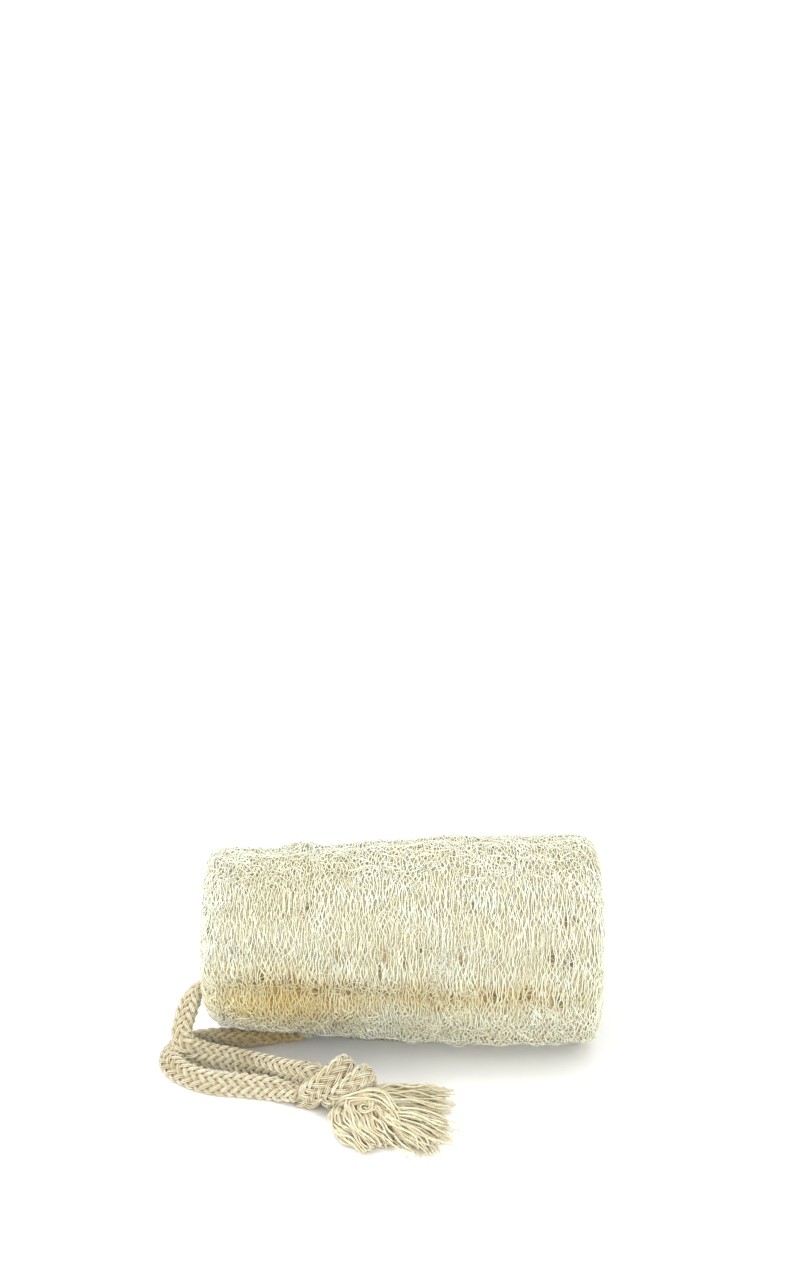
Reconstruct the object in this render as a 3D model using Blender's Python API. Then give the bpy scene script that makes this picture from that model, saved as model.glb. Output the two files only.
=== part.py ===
"""A natural loofah sponge on a loop of braided cotton cord, in metres, +Z up.

The cut length of dried gourd lies along X, with the cord's end at -X. Three seed channels run
through it. The cord enters the mouth of the front channel, turns back inside the sponge and
leaves through its underside. Both strands lie on the surface and meet in a knot with frayed ends,
in front of the sponge at -Y. The origin is on that surface, under the middle of the sponge.
"""
import math
import random

import bmesh
import bpy
import numpy as np
from mathutils import Matrix, Vector, noise

# Sponge: overall form
SPONGE_LENGTH = 0.150
FAR_END_RADIUS = 0.0401
CORD_END_RADIUS = 0.0355
TAPER_START_X = -0.055
TAPER_END_X = 0.030
AXIS_HEIGHT = 0.0393
END_ROUNDING = 0.007
END_DOME = 0.0010
END_RELIEF = 0.0022
END_GRAIN = 330
ROUNDING_STEPS = (18, 42, 66, 88)
FACE_STEPS = (0.91, 0.79, 0.67, 0.54, 0.40, 0.22)

# Sponge: its lower edge is worn back at the cord end, and its top has one low bump
WORN_FROM_X = -0.058
WORN_REACH = 0.012
WORN_DEPTH = 0.0038
WORN_ANGLE = 142
WORN_HALF_ANGLE = 38
BUMP_X = -0.040
BUMP_ANGLE = -23
BUMP_HEIGHT = 0.0014
BUMP_HALF_LENGTH = 0.0060
BUMP_HALF_ANGLE = 12

# Sponge: lengthwise bands between shallow valleys, as angles from the top towards the front
VALLEY_ANGLES = (18, 44.5, 73, 99, 127, 155, 183, 211, 240, 268, 297, 325, 350)
VALLEY_DEPTH = 0.0011
VALLEY_WIDTH = 7.0

# Sponge: net of raised strands that run round it, larger than life
STRAND_COUNT = 30
POINTS_AROUND = 56
STRAND_RELIEF = 0.0015
HOLE_ROW_RELIEF = 0.0016
STRAND_WAVE = 0.42
WAVES_AROUND = 5.0

# Sponge: flat underside where its weight rests
REST_FROM_X = -0.030
REST_TO_X = 0.066
REST_SAG = 0.0034
REST_HALF_WIDTH = 0.011

# Seed channels
CHANNEL_RADIUS = 0.0086
CHANNEL_SWELL = 0.0007
CHANNEL_OFFSET = 0.0134
CHANNEL_ANGLES = (128, 248, 8)
CHANNEL_SIDES = 14

# Cord: braided cotton, a little flattened, here as a round cord of the same section
CORD_DIAMETER = 0.0064
GAP = 0.0003
POINT_SPACING = 0.0064
END_STEP = 0.0005
MERGE = 0.000003

# The whole cord from the knot to the knot: the front strand, the turn inside, the strand underneath
CORD_ROUTE = (
    (-0.0355, -0.0500, 0.0094), (-0.0412, -0.0456, 0.0078), (-0.0482, -0.0394, 0.0060),
    (-0.0570, -0.0330, 0.0042), (-0.0641, -0.0286, 0.0034), (-0.0705, -0.0268, 0.0036),
    (-0.0762, -0.0264, 0.0048), (-0.0812, -0.0262, 0.0074), (-0.0834, -0.0240, 0.0104),
    (-0.0830, -0.0200, 0.0140), (-0.0816, -0.0158, 0.0182), (-0.0792, -0.0124, 0.0222),
    (-0.0750, -0.0107, 0.0252), (-0.0690, -0.0104, 0.0266), (-0.0600, -0.0102, 0.0262),
    (-0.0510, -0.0100, 0.0256), (-0.0440, -0.0098, 0.0252), (-0.0370, -0.0095, 0.0228),
    (-0.0322, -0.0092, 0.0176), (-0.0322, -0.0088, 0.0112), (-0.0360, -0.0084, 0.0061),
    (-0.0410, -0.0080, 0.0037), (-0.0460, -0.0078, 0.0033), (-0.0520, -0.0098, 0.0033),
    (-0.0590, -0.0118, 0.0033), (-0.0665, -0.0117, 0.0033), (-0.0735, -0.0114, 0.0033),
    (-0.0795, -0.0130, 0.0033), (-0.0845, -0.0170, 0.0033), (-0.0871, -0.0224, 0.0033),
    (-0.0872, -0.0286, 0.0033), (-0.0841, -0.0351, 0.0033), (-0.0783, -0.0408, 0.0033),
    (-0.0705, -0.0451, 0.0033), (-0.0590, -0.0474, 0.0033), (-0.0477, -0.0496, 0.0033),
    (-0.0420, -0.0519, 0.0034), (-0.0368, -0.0545, 0.0036),
)
MOUTH_POINT = 12
UNDERSIDE_POINT = 21
MOUTH_REACH = 4
UNDERSIDE_REACH = 9

# Knot: an overhand knot in the doubled cord, its turns leaning from upper right to lower left
KNOT_CENTRE = Vector((-0.0228, -0.0578, 0.0098))
KNOT_AXIS = Vector((0.86, -0.50, -0.06))
TURN_THICKNESS = 0.0033
TURN_STEPS = 18
TURN_SIDES = 8
KNOT_TURNS = (
    {"along": -0.0034, "long": 0.0080, "across": 0.0058, "lean": 42},
    {"along": 0.0030, "long": 0.0074, "across": 0.0056, "lean": 44},
    {"along": 0.0078, "long": 0.0050, "across": 0.0044, "lean": 8},
)
KNOT_CORE = (0.0110, 0.0058, 0.0058)

# Frayed ends: cotton yarns that fan out from the knot, larger than life
TASSEL_ROOT = Vector((-0.0126, -0.0660, 0.0078))
TASSEL_NECK = 0.0048
YARN_RADIUS = 0.00085
YARN_TIP = 0.00055
YARN_STEPS = 5
YARN_SEED = 23
YARN_BUNCHES = (
    {"count": 7, "azimuth": 22, "turn": 4, "length": 0.036, "root": 0.0105, "tip": 0.0050},
    {"count": 7, "azimuth": -8, "turn": -4, "length": 0.034, "root": 0.0085, "tip": 0.0026},
    {"count": 7, "azimuth": -36, "turn": -10, "length": 0.030, "root": 0.0080, "tip": 0.0018},
    {"count": 7, "azimuth": -62, "turn": -30, "length": 0.025, "root": 0.0070, "tip": 0.0014},
    {"count": 6, "azimuth": -20, "turn": -140, "length": 0.024, "root": 0.0105, "tip": 0.0050},
)

# Finishes
LOOFAH_COLOUR = (0.73, 0.71, 0.52, 1)
COTTON_COLOUR = (0.69, 0.62, 0.40, 1)


def clear_scene():
    for old in list(bpy.data.objects):
        bpy.data.objects.remove(old)


def finish(name, colour, roughness):
    made = bpy.data.materials.new(name)
    made.use_nodes = True
    shader = made.node_tree.nodes["Principled BSDF"]
    shader.inputs["Base Color"].default_value = colour
    shader.inputs["Roughness"].default_value = roughness
    shader.inputs["Metallic"].default_value = 0
    return made


def mesh_object(name, points, faces, material, place=(0, 0, 0)):
    mesh = bpy.data.meshes.new(name)
    mesh.from_pydata([tuple(p) for p in points], [], faces)
    mesh.materials.append(material)
    mesh.shade_smooth()
    made = bpy.data.objects.new(name, mesh)
    made.location = place
    bpy.context.scene.collection.objects.link(made)
    return made


def loft(rings, closed=False):
    """Points and faces of a tube through rings of equal size, with flat ends unless it closes on itself."""
    count, sides = len(rings), len(rings[0])
    points = [point for ring in rings for point in ring]
    faces = []
    for i in range(count if closed else count - 1):
        for j in range(sides):
            a, b = i * sides, (i + 1) % count * sides
            k = (j + 1) % sides
            faces.append((a + j, a + k, b + k, b + j))
    if not closed:
        faces.append(tuple(range(sides))[::-1])
        faces.append(tuple((count - 1) * sides + j for j in range(sides)))
    return points, faces


def smoothstep(value):
    value = min(max(value, 0.0), 1.0)
    return value * value * (3 - 2 * value)


def degrees_between(a, b):
    return abs((a - b + 180) % 360 - 180)


def spline_through(route):
    """A smooth curve through the route's points: returns its chord lengths and a function of length."""
    points = np.array(route, float)
    at = np.concatenate([[0], np.cumsum(np.linalg.norm(np.diff(points, axis=0), axis=1))])
    step = np.diff(at)
    slope = np.diff(points, axis=0) / step[:, None]
    tangent = np.empty_like(points)
    tangent[0], tangent[-1] = slope[0], slope[-1]
    before, after = step[:-1, None], step[1:, None]
    tangent[1:-1] = (slope[:-1] * after + slope[1:] * before) / (before + after)

    def read(length):
        i = int(np.clip(np.searchsorted(at, length) - 1, 0, len(step) - 1))
        t = (length - at[i]) / step[i]
        start, end = points[i], points[i + 1]
        out, into = tangent[i] * step[i], tangent[i + 1] * step[i]
        return (
            (2 * t**3 - 3 * t**2 + 1) * start + (t**3 - 2 * t**2 + t) * out
            + (3 * t**2 - 2 * t**3) * end + (t**3 - t**2) * into
        )

    return at, read


def route_stretch(first, last, trim_start, trim_end):
    """Evenly spaced points of the cord's curve between two of the route's points.

    A short step at each end sets the end's face square to the curve.
    """
    at, read = spline_through(CORD_ROUTE)
    start, end = at[first] + trim_start, at[last] - trim_end
    count = round((end - start) / POINT_SPACING) + 1
    lengths = np.linspace(start, end, count)
    lengths = [start, start + END_STEP, *lengths[1:-1], end - END_STEP, end]
    return [Vector(read(length)) for length in lengths]


def cord_stretches():
    """The cord's points in three stretches: to the sponge's mouth, inside it, and from its underside."""
    half_gap = GAP / 2
    return {
        "cord_front_strand": route_stretch(0, MOUTH_POINT, GAP, half_gap),
        "cord_inner_bight": route_stretch(MOUTH_POINT, UNDERSIDE_POINT, half_gap, half_gap),
        "cord_under_strand": route_stretch(UNDERSIDE_POINT, len(CORD_ROUTE) - 1, half_gap, GAP),
    }


def cord_tube(name, points, diameter, material):
    curve = bpy.data.curves.new(name, "CURVE")
    curve.dimensions = "3D"
    curve.bevel_depth = diameter / 2
    curve.bevel_resolution = 2
    curve.use_fill_caps = True
    spline = curve.splines.new("POLY")
    spline.points.add(len(points) - 1)
    place = points[0]
    for target, point in zip(spline.points, points):
        target.co = (*(point - place), 1)
    curve.materials.append(material)
    made = bpy.data.objects.new(name, curve)
    made.location = place
    bpy.context.scene.collection.objects.link(made)
    return made


def body_radius(x):
    share = smoothstep((x - TAPER_START_X) / (TAPER_END_X - TAPER_START_X))
    return CORD_END_RADIUS + (FAR_END_RADIUS - CORD_END_RADIUS) * share


def worn_back(x, angle):
    """How far the skin lies inside the plain round form there; it is less than nothing on the bump."""
    edge = smoothstep((WORN_FROM_X - x) / WORN_REACH)
    edge *= math.exp(-((degrees_between(angle, WORN_ANGLE) / WORN_HALF_ANGLE) ** 2))
    bump = math.exp(-(((x - BUMP_X) / BUMP_HALF_LENGTH) ** 2))
    bump *= math.exp(-((degrees_between(angle, BUMP_ANGLE) / BUMP_HALF_ANGLE) ** 2))
    return WORN_DEPTH * edge - BUMP_HEIGHT * bump


def valley_share(angle):
    """1 in the middle of a lengthwise valley, falling to 0 beside it."""
    nearest = min(degrees_between(angle, valley) for valley in VALLEY_ANGLES)
    return math.exp(-((nearest / VALLEY_WIDTH) ** 2))


def rest_share(x, angle):
    """1 in the middle of the flat that the sponge rests on, falling to 0 round it."""
    ends = smoothstep((x - REST_FROM_X) / 0.012) * smoothstep((REST_TO_X - x) / 0.010)
    across = body_radius(x) * math.radians(degrees_between(angle, 180))
    return ends * math.exp(-((across / REST_HALF_WIDTH) ** 4))


def strand_shift(index, angle):
    """How far a raised strand waves along X there, as a share of the spacing."""
    turn = math.radians(angle)
    where = Vector((math.cos(turn) * WAVES_AROUND, math.sin(turn) * WAVES_AROUND, index * 5.7))
    return STRAND_WAVE * min(max(noise.noise(where) * 2.2, -1), 1)


def surface_point(x, radius, angle):
    """A point in the sponge's own axes: angle 0 is up and 90 faces the front."""
    turn = math.radians(angle)
    return Vector((x, -radius * math.sin(turn), radius * math.cos(turn)))


def settled(point, angle):
    """The point moved down by the sag over the flat, and held at the surface underneath."""
    point.z = max(point.z - REST_SAG * rest_share(point.x, angle), -AXIS_HEIGHT)
    return point


def net_rings():
    """Rings of points from end to end: each even one follows a raised strand, each odd one a gap."""
    straight = SPONGE_LENGTH - 2 * END_ROUNDING
    pitch = straight / (STRAND_COUNT - 1)
    angles = [360 * j / POINTS_AROUND for j in range(POINTS_AROUND)]

    def strand_x(index, angle):
        inner = 1 if 0 < index < STRAND_COUNT - 1 else 0.3
        return -straight / 2 + pitch * (index + inner * strand_shift(index, angle))

    rings = []
    for row in range(2 * STRAND_COUNT - 1):
        strand, is_gap = divmod(row, 2)
        ring = []
        for angle in angles:
            valley = valley_share(angle)
            x, depth = strand_x(strand, angle), 0.0
            if is_gap:
                beyond = strand_x(strand + 1, angle)
                width = (beyond - x) / pitch
                x = (x + beyond) / 2
                depth = (STRAND_RELIEF + HOLE_ROW_RELIEF * valley) * smoothstep((width - 0.35) / 0.7)
            depth *= 1 - rest_share(x, angle)
            radius = body_radius(x) - worn_back(x, angle) - VALLEY_DEPTH * valley - depth
            ring.append(settled(surface_point(x, radius, angle), angle))
        rings.append(ring)
    return rings


def end_rings(side):
    """Rings that round the sponge over to one end and close in on its middle, from outside in."""
    start = SPONGE_LENGTH / 2 - END_ROUNDING
    angles = [360 * j / POINTS_AROUND for j in range(POINTS_AROUND)]
    rings = []
    for step in ROUNDING_STEPS:
        along = side * (start + END_ROUNDING * math.sin(math.radians(step)))
        inward = END_ROUNDING * (1 - math.cos(math.radians(step)))
        ring = []
        for angle in angles:
            radius = body_radius(along) - worn_back(along, angle) - inward
            radius -= VALLEY_DEPTH * valley_share(angle)
            grain = noise.noise(surface_point(along * 3, radius, angle) * END_GRAIN)
            grain *= END_RELIEF * (1 - rest_share(along, angle))
            ring.append(settled(surface_point(along, radius + grain, angle), angle))
        rings.append(ring)
    for share in FACE_STEPS:
        ring = []
        for angle in angles:
            rim = body_radius(side) - worn_back(side, angle) - END_ROUNDING
            at = surface_point(side, rim * share, angle)
            grain = END_RELIEF * noise.noise(at * END_GRAIN)
            at.x = side * (SPONGE_LENGTH / 2 - END_DOME * share + grain)
            ring.append(at)
        rings.append(ring)
    return rings


def channel_cutters(hidden):
    """One spindle-shaped cutter for each seed channel, longer than the sponge."""
    reach = SPONGE_LENGTH / 2 + 0.01
    cutters = []
    for number, place_angle in enumerate(CHANNEL_ANGLES):
        centre = surface_point(0, CHANNEL_OFFSET, place_angle)
        rings = []
        for x in np.linspace(-reach, reach, 8):
            swell = CHANNEL_SWELL * math.cos(math.pi / 2 * x / reach)
            rings.append([
                centre + surface_point(x, CHANNEL_RADIUS + swell, 360 * (j + 0.5) / CHANNEL_SIDES)
                for j in range(CHANNEL_SIDES)
            ])
        points, faces = loft(rings)
        cutter = mesh_object(f"channel_cutter_{number}", points, faces, hidden, (0, 0, AXIS_HEIGHT))
        cutters.append(cutter)
    return cutters


def cord_way_cutter(hidden):
    """A cutter along the cord where it passes the mouth, the turn inside and the underside."""
    front, inner, under = cord_stretches().values()
    points = front[-MOUTH_REACH:] + inner + under[:UNDERSIDE_REACH]
    guide = cord_tube("cord_way_guide", points, CORD_DIAMETER + 2 * GAP, hidden)
    mesh = bpy.data.meshes.new_from_object(guide)
    place = guide.location.copy()
    bpy.data.objects.remove(guide)
    form = bmesh.new()
    form.from_mesh(mesh)
    bmesh.ops.remove_doubles(form, verts=form.verts, dist=1e-6)
    bmesh.ops.recalc_face_normals(form, faces=form.faces)
    form.to_mesh(mesh)
    form.free()
    cutter = bpy.data.objects.new("cord_way_cutter", mesh)
    cutter.location = place
    bpy.context.scene.collection.objects.link(cutter)
    return cutter


def outward(mesh):
    form = bmesh.new()
    form.from_mesh(mesh)
    bmesh.ops.recalc_face_normals(form, faces=form.faces)
    form.to_mesh(mesh)
    form.free()


def make_sponge(material):
    """The dried gourd: a net of raised strands over a body with three channels through it."""
    rings = end_rings(-1)[::-1] + net_rings() + end_rings(1)
    points, faces = loft(rings)
    sponge = mesh_object("loofah_sponge", points, faces, material, (0, 0, AXIS_HEIGHT))
    outward(sponge.data)
    for cutter in channel_cutters(material) + [cord_way_cutter(material)]:
        outward(cutter.data)
        cutter.hide_render = True
        cutter.display_type = "WIRE"
        cut = sponge.modifiers.new(cutter.name, "BOOLEAN")
        cut.operation = "DIFFERENCE"
        cut.solver = "EXACT"
        cut.object = cutter
    return sponge


def keep_largest_shell(mesh):
    """Drops every loose scrap and every sealed hollow, so that one outer skin is left."""
    form = bmesh.new()
    form.from_mesh(mesh)
    bmesh.ops.remove_doubles(form, verts=form.verts, dist=MERGE)
    bmesh.ops.dissolve_degenerate(form, edges=form.edges, dist=MERGE)
    bmesh.ops.triangulate(form, faces=form.faces)
    unseen = set(form.faces)
    shells = []
    while unseen:
        front = [unseen.pop()]
        shell = set(front)
        while front:
            near = {face for seen in front for edge in seen.edges for face in edge.link_faces} - shell
            shell |= near
            front = list(near)
        unseen -= shell
        shells.append(shell)
    shells.sort(key=len)
    scraps = [face for shell in shells[:-1] for face in shell]
    bmesh.ops.delete(form, geom=scraps, context="FACES")
    form.to_mesh(mesh)
    form.free()


def fused(name, pieces, material, place):
    """One closed body joined from overlapping pieces, which are then removed."""
    group = bpy.data.collections.new(name + "_pieces")
    bpy.context.scene.collection.children.link(group)
    first, rest = pieces[0], pieces[1:]
    for piece in rest:
        bpy.context.scene.collection.objects.unlink(piece)
        group.objects.link(piece)
    join = first.modifiers.new("join", "BOOLEAN")
    join.operation = "UNION"
    join.solver = "EXACT"
    join.operand_type = "COLLECTION"
    join.collection = group
    bpy.context.view_layer.update()
    graph = bpy.context.evaluated_depsgraph_get()
    mesh = bpy.data.meshes.new_from_object(first.evaluated_get(graph), depsgraph=graph)
    mesh.transform(Matrix.Translation(-place) @ first.matrix_world)
    keep_largest_shell(mesh)
    for piece in pieces:
        bpy.data.objects.remove(piece)
    bpy.data.collections.remove(group)
    mesh.name = name
    mesh.materials.clear()
    mesh.materials.append(material)
    mesh.shade_smooth()
    made = bpy.data.objects.new(name, mesh)
    made.location = place
    bpy.context.scene.collection.objects.link(made)
    return made


def frame_along(direction):
    """Two directions square to the given one, the first as near to up as it can be."""
    direction = direction.normalized()
    side = direction.cross(Vector((0, 0, 1)))
    side = side.normalized() if side.length > 0.01 else Vector((0, 1, 0))
    return side.cross(direction).normalized(), side


def swept(name, path, radii, sides, material, closed=False):
    """A tube along the path with its own radius at each point."""
    count = len(path)
    rings = []
    for i, (point, radius) in enumerate(zip(path, radii)):
        ahead = path[(i + 1) % count] if closed or i + 1 < count else point
        behind = path[i - 1] if closed or i else point
        up, side = frame_along(ahead - behind)
        if rings and (rings[-1][0] - path[i - 1]).dot(up) < 0:
            up, side = -up, -side
        rings.append([
            point + radius * (math.cos(turn) * up + math.sin(turn) * side)
            for turn in (2 * math.pi * (j + 0.5) / sides for j in range(sides))
        ])
    points, faces = loft(rings, closed)
    made = mesh_object(name, points, faces, material)
    outward(made.data)
    return made


def knot_turn(number, turn, material):
    """One closed turn of cord round the knot's axis, leaning in the knot's upright plane."""
    axis = KNOT_AXIS.normalized()
    up, side = frame_along(axis)
    lean = math.radians(turn["lean"])
    long_way = math.cos(lean) * up + math.sin(lean) * axis
    normal = long_way.cross(side)
    centre = KNOT_CENTRE + turn["along"] * axis
    rings = []
    for i in range(TURN_STEPS):
        t = 2 * math.pi * i / TURN_STEPS
        outward_way = (turn["long"] * math.cos(t) * long_way + turn["across"] * math.sin(t) * side)
        point = centre + outward_way
        square = (turn["across"] * math.cos(t) * long_way + turn["long"] * math.sin(t) * side).normalized()
        rings.append([
            point + TURN_THICKNESS * (math.cos(s) * square + 1.1 * math.sin(s) * normal)
            for s in (2 * math.pi * (j + 0.5) / TURN_SIDES for j in range(TURN_SIDES))
        ])
    points, faces = loft(rings, closed=True)
    made = mesh_object(f"knot_turn_{number}", points, faces, material)
    outward(made.data)
    return made


def make_knot(material):
    """Three turns round a core, with a stub for each strand that enters and a neck for the yarns."""
    axis = KNOT_AXIS.normalized()
    up, side = frame_along(axis)
    rings = []
    for t in np.linspace(0.12, math.pi - 0.12, 7):
        middle = KNOT_CENTRE - KNOT_CORE[0] * math.cos(t) * axis
        rings.append([
            middle + math.sin(t) * (KNOT_CORE[1] * math.cos(s) * up + KNOT_CORE[2] * math.sin(s) * side)
            for s in (2 * math.pi * j / 10 for j in range(10))
        ])
    points, faces = loft(rings)
    core = mesh_object("knot_core", points, faces, material)
    outward(core.data)
    turns = [knot_turn(number, turn, material) for number, turn in enumerate(KNOT_TURNS)]
    stubs = []
    for number, ends in enumerate((CORD_ROUTE[:2], CORD_ROUTE[:-3:-1])):
        mouth, before = Vector(ends[0]), Vector(ends[1])
        way = (mouth - before).normalized()
        inside = mouth.lerp(KNOT_CENTRE, 0.6)
        path = [mouth, mouth + 0.0025 * way, inside]
        stubs.append(swept(f"knot_stub_{number}", path, [CORD_DIAMETER / 2] * 3, 8, material))
    neck_path = [KNOT_CENTRE.lerp(TASSEL_ROOT, 0.3), TASSEL_ROOT]
    neck = swept("knot_neck", neck_path, [TASSEL_NECK] * 2, 10, material)
    return fused("cord_knot", [core, *turns, *stubs, neck], material, KNOT_CENTRE)


def yarn_path(bunch, draw):
    """A bent yarn from inside the tassel's neck to its tip, kept above the surface."""
    away = (TASSEL_ROOT - KNOT_CENTRE).normalized()
    start = TASSEL_ROOT + 0.0026 * away
    across = frame_along(away)
    start += draw.uniform(-0.0030, 0.0030) * across[0] + draw.uniform(-0.0030, 0.0030) * across[1]
    azimuth = math.radians(bunch["azimuth"] + draw.uniform(-17, 17))
    turn = math.radians(bunch["turn"] + draw.uniform(-14, 14)) / YARN_STEPS
    stride = bunch["length"] * draw.uniform(0.86, 1.08) / YARN_STEPS
    root = bunch["root"] + draw.uniform(-0.0030, 0.0025)
    tip = max(bunch["tip"] + draw.uniform(-0.0015, 0.0022), 0.0012)
    path = [start]
    for i in range(1, YARN_STEPS + 1):
        share = i / YARN_STEPS
        height = root + (tip - root) * smoothstep(share * 1.05)
        before = path[-1]
        point = Vector((before.x + stride * math.cos(azimuth), before.y + stride * math.sin(azimuth), 0))
        point.z = before.z + (height - before.z) * 0.7
        path.append(point)
        azimuth += turn
    return path


def make_tassel(material):
    """The frayed ends: five bunches of yarns out of one bundle behind the knot."""
    away = (TASSEL_ROOT - KNOT_CENTRE).normalized()
    bundle_path = [TASSEL_ROOT + reach * away for reach in (GAP, 0.0030, 0.0062)]
    bundle_path[2].z -= 0.0008
    pieces = [swept("bundle", bundle_path, [0.0047, 0.0052, 0.0030], 10, material)]
    draw = random.Random(YARN_SEED)
    for bunch in YARN_BUNCHES:
        for _ in range(bunch["count"]):
            path = yarn_path(bunch, draw)
            radii = np.linspace(YARN_RADIUS, YARN_TIP, len(path)).tolist()
            pieces.append(swept(f"yarn_{len(pieces)}", path, radii, 4, material))
    return fused("cord_tassel", pieces, material, TASSEL_ROOT)


def main():
    clear_scene()
    loofah = finish("dried_loofah_fibre", LOOFAH_COLOUR, 0.85)
    cotton = finish("braided_cotton", COTTON_COLOUR, 0.9)
    make_sponge(loofah)
    for name, points in cord_stretches().items():
        cord_tube(name, points, CORD_DIAMETER, cotton)
    make_knot(cotton)
    make_tassel(cotton)


main()
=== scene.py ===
"""The looks of a natural loofah sponge on a braided cotton cord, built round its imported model.

The file is laid out as a Blender add-on and is run as a script. Everything is in metres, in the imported
model's own frame: the sponge lies along X, its cord comes out at -X and the knot lies in front, at -Y.
"""
import math

import bpy
import numpy as np
from bpy.props import FloatProperty, FloatVectorProperty, IntProperty, PointerProperty
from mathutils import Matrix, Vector


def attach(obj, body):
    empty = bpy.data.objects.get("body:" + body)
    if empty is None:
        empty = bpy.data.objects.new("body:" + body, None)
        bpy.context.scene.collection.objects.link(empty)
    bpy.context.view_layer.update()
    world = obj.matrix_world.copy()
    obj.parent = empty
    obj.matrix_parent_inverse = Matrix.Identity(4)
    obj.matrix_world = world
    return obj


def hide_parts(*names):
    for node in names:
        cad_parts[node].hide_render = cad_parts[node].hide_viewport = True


bl_info = {
    "name": "Natural loofah sponge",
    "version": (1, 0, 0),
    "blender": (4, 5, 0),
    "location": "3D View > Sidebar > Loofah",
    "description": "Builds a dried loofah sponge, its cotton cord and a pale studio round a packed model",
    "category": "Add Mesh",
}

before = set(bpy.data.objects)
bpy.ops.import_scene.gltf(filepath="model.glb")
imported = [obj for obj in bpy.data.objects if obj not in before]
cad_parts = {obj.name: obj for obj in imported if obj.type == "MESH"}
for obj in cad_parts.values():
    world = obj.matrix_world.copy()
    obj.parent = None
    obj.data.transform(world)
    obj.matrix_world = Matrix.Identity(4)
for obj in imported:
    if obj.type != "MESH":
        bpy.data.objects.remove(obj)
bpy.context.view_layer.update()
MM = 0.001


def linear(hex_colour):
    """An sRGB hex colour as linear red, green and blue."""
    shares = [int(hex_colour[i:i + 2], 16) / 255 for i in (1, 3, 5)]
    return tuple(s / 12.92 if s <= 0.04045 else ((s + 0.055) / 1.055) ** 2.4 for s in shares)


# Sponge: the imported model's form, with its bump a little higher
SPONGE_LENGTH = 150 * MM
FAR_END_RADIUS = 40.1 * MM
CORD_END_RADIUS = 35.5 * MM
TAPER_START_X = -55 * MM
TAPER_END_X = 30 * MM
AXIS_HEIGHT = 39.3 * MM
END_ROUNDING = 7 * MM
STRAIGHT_HALF = SPONGE_LENGTH / 2 - END_ROUNDING
ARC_LENGTH = END_ROUNDING * math.pi / 2
MEAN_RADIUS = 38 * MM
WORN_FROM_X = -58 * MM
WORN_REACH = 12 * MM
WORN_DEPTH = 3.8 * MM
WORN_ANGLE = 142
WORN_HALF_ANGLE = 38
BUMP_X = -40 * MM
BUMP_ANGLE = -23
BUMP_HEIGHT = 2.1 * MM
BUMP_HALF_LENGTH = 6 * MM
BUMP_HALF_ANGLE = 12
VALLEY_ANGLES = np.array((18, 44.5, 73, 99, 127, 155, 183, 211, 240, 268, 297, 325, 350))
VALLEY_DEPTH = 1.1 * MM
VALLEY_WIDTH = 7.0
REST_FROM_X = -30 * MM
REST_TO_X = 66 * MM
REST_SAG = 3.4 * MM
REST_HALF_WIDTH = 11 * MM
REST_EASE = (12 * MM, 10 * MM)
CHANNEL_RADIUS = 8.6 * MM
CHANNEL_OFFSET = 13.4 * MM
CHANNEL_ANGLES = (128, 248, 8)
CHANNEL_NUMBERS = range(len(CHANNEL_ANGLES))

# Seed channels: lobes as how many there are round one, their height, and a shift from channel to channel
CHANNEL_LOBES = ((2, 0.75 * MM, 2.1), (3, 0.5 * MM, 1.3))

# Seed channels: a fibre that comes nearer to the middle than this share of the radius is left out
CROSSING_SHARE = 0.72

# Sponge: the least height of a fibre over the floor, how layers stay apart there, and its unevenness
LEAST_HEIGHT = 0.25 * MM
FLATTENED_FROM = 0.3 * MM
FLATTENED_SHARE = 0.9
UNEVEN_HEIGHT = 0.45 * MM
UNEVEN_SIZE = 17 * MM
UNEVEN_SEED = 3
OUTWARD_BEND = 6

# Sponge: the worn hollow under the ledge at the cord's end
HOLLOW_TO_X = 4 * MM
HOLLOW_REACH = 22 * MM
HOLLOW_DEPTH = 1.9 * MM
HOLLOW_ANGLE = 99
HOLLOW_HALF_ANGLE = 7.5

# Sponge: open holes in the net as along, angle, half width and half length, in mm and degrees
FRONT_HOLES = (
    (21.6, 74.9, 0.9, 2.4), (7.0, 70.3, 0.6, 1.5), (0.8, 78.6, 0.6, 1.4), (55.3, 74.9, 1.0, 2.2),
    (62.2, 77.4, 0.7, 1.8), (59.2, 79.0, 0.5, 1.4), (18.4, 98.1, 1.0, 2.0), (30.6, 98.5, 0.8, 2.0),
    (34.2, 97.5, 0.9, 2.4), (46.7, 96.6, 1.0, 2.2), (43.6, 99.4, 0.7, 1.6), (55.3, 100.7, 0.9, 2.2),
    (58.8, 102.7, 0.9, 2.0), (-35.1, 43.9, 0.7, 2.0), (60.2, 54.1, 0.6, 2.6), (63.1, 53.0, 0.6, 1.5),
    (26.2, 44.4, 0.6, 1.8), (-6.2, 74.3, 0.7, 2.6), (-8.0, 84.0, 0.8, 2.6), (-24.2, 73.1, 0.5, 2.4),
    (-23.9, 98.6, 0.9, 1.8), (-19.8, 97.3, 1.1, 2.6), (-15.9, 95.7, 0.9, 2.4), (-5.8, 98.1, 1.0, 1.8),
    (-32.0, 98.8, 1.2, 2.6), (-38.4, 97.7, 1.2, 3.0), (-41.5, 92.9, 1.0, 2.8), (-51.5, 88.7, 0.9, 2.8),
    (-54.6, 95.6, 1.0, 2.6), (-59.9, 92.2, 0.9, 2.6), (-27.6, 104.8, 0.8, 1.6), (-47.0, 99.0, 1.0, 2.4),
    (-48.5, 107.0, 0.7, 1.8), (9.5, 99.0, 0.7, 1.8), (13.6, 104.0, 0.6, 1.5), (2.0, 106.0, 0.6, 1.3),
)
HIDDEN_HOLE_ROWS = (-92, -63, -35, 155, -120, -149)
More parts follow.
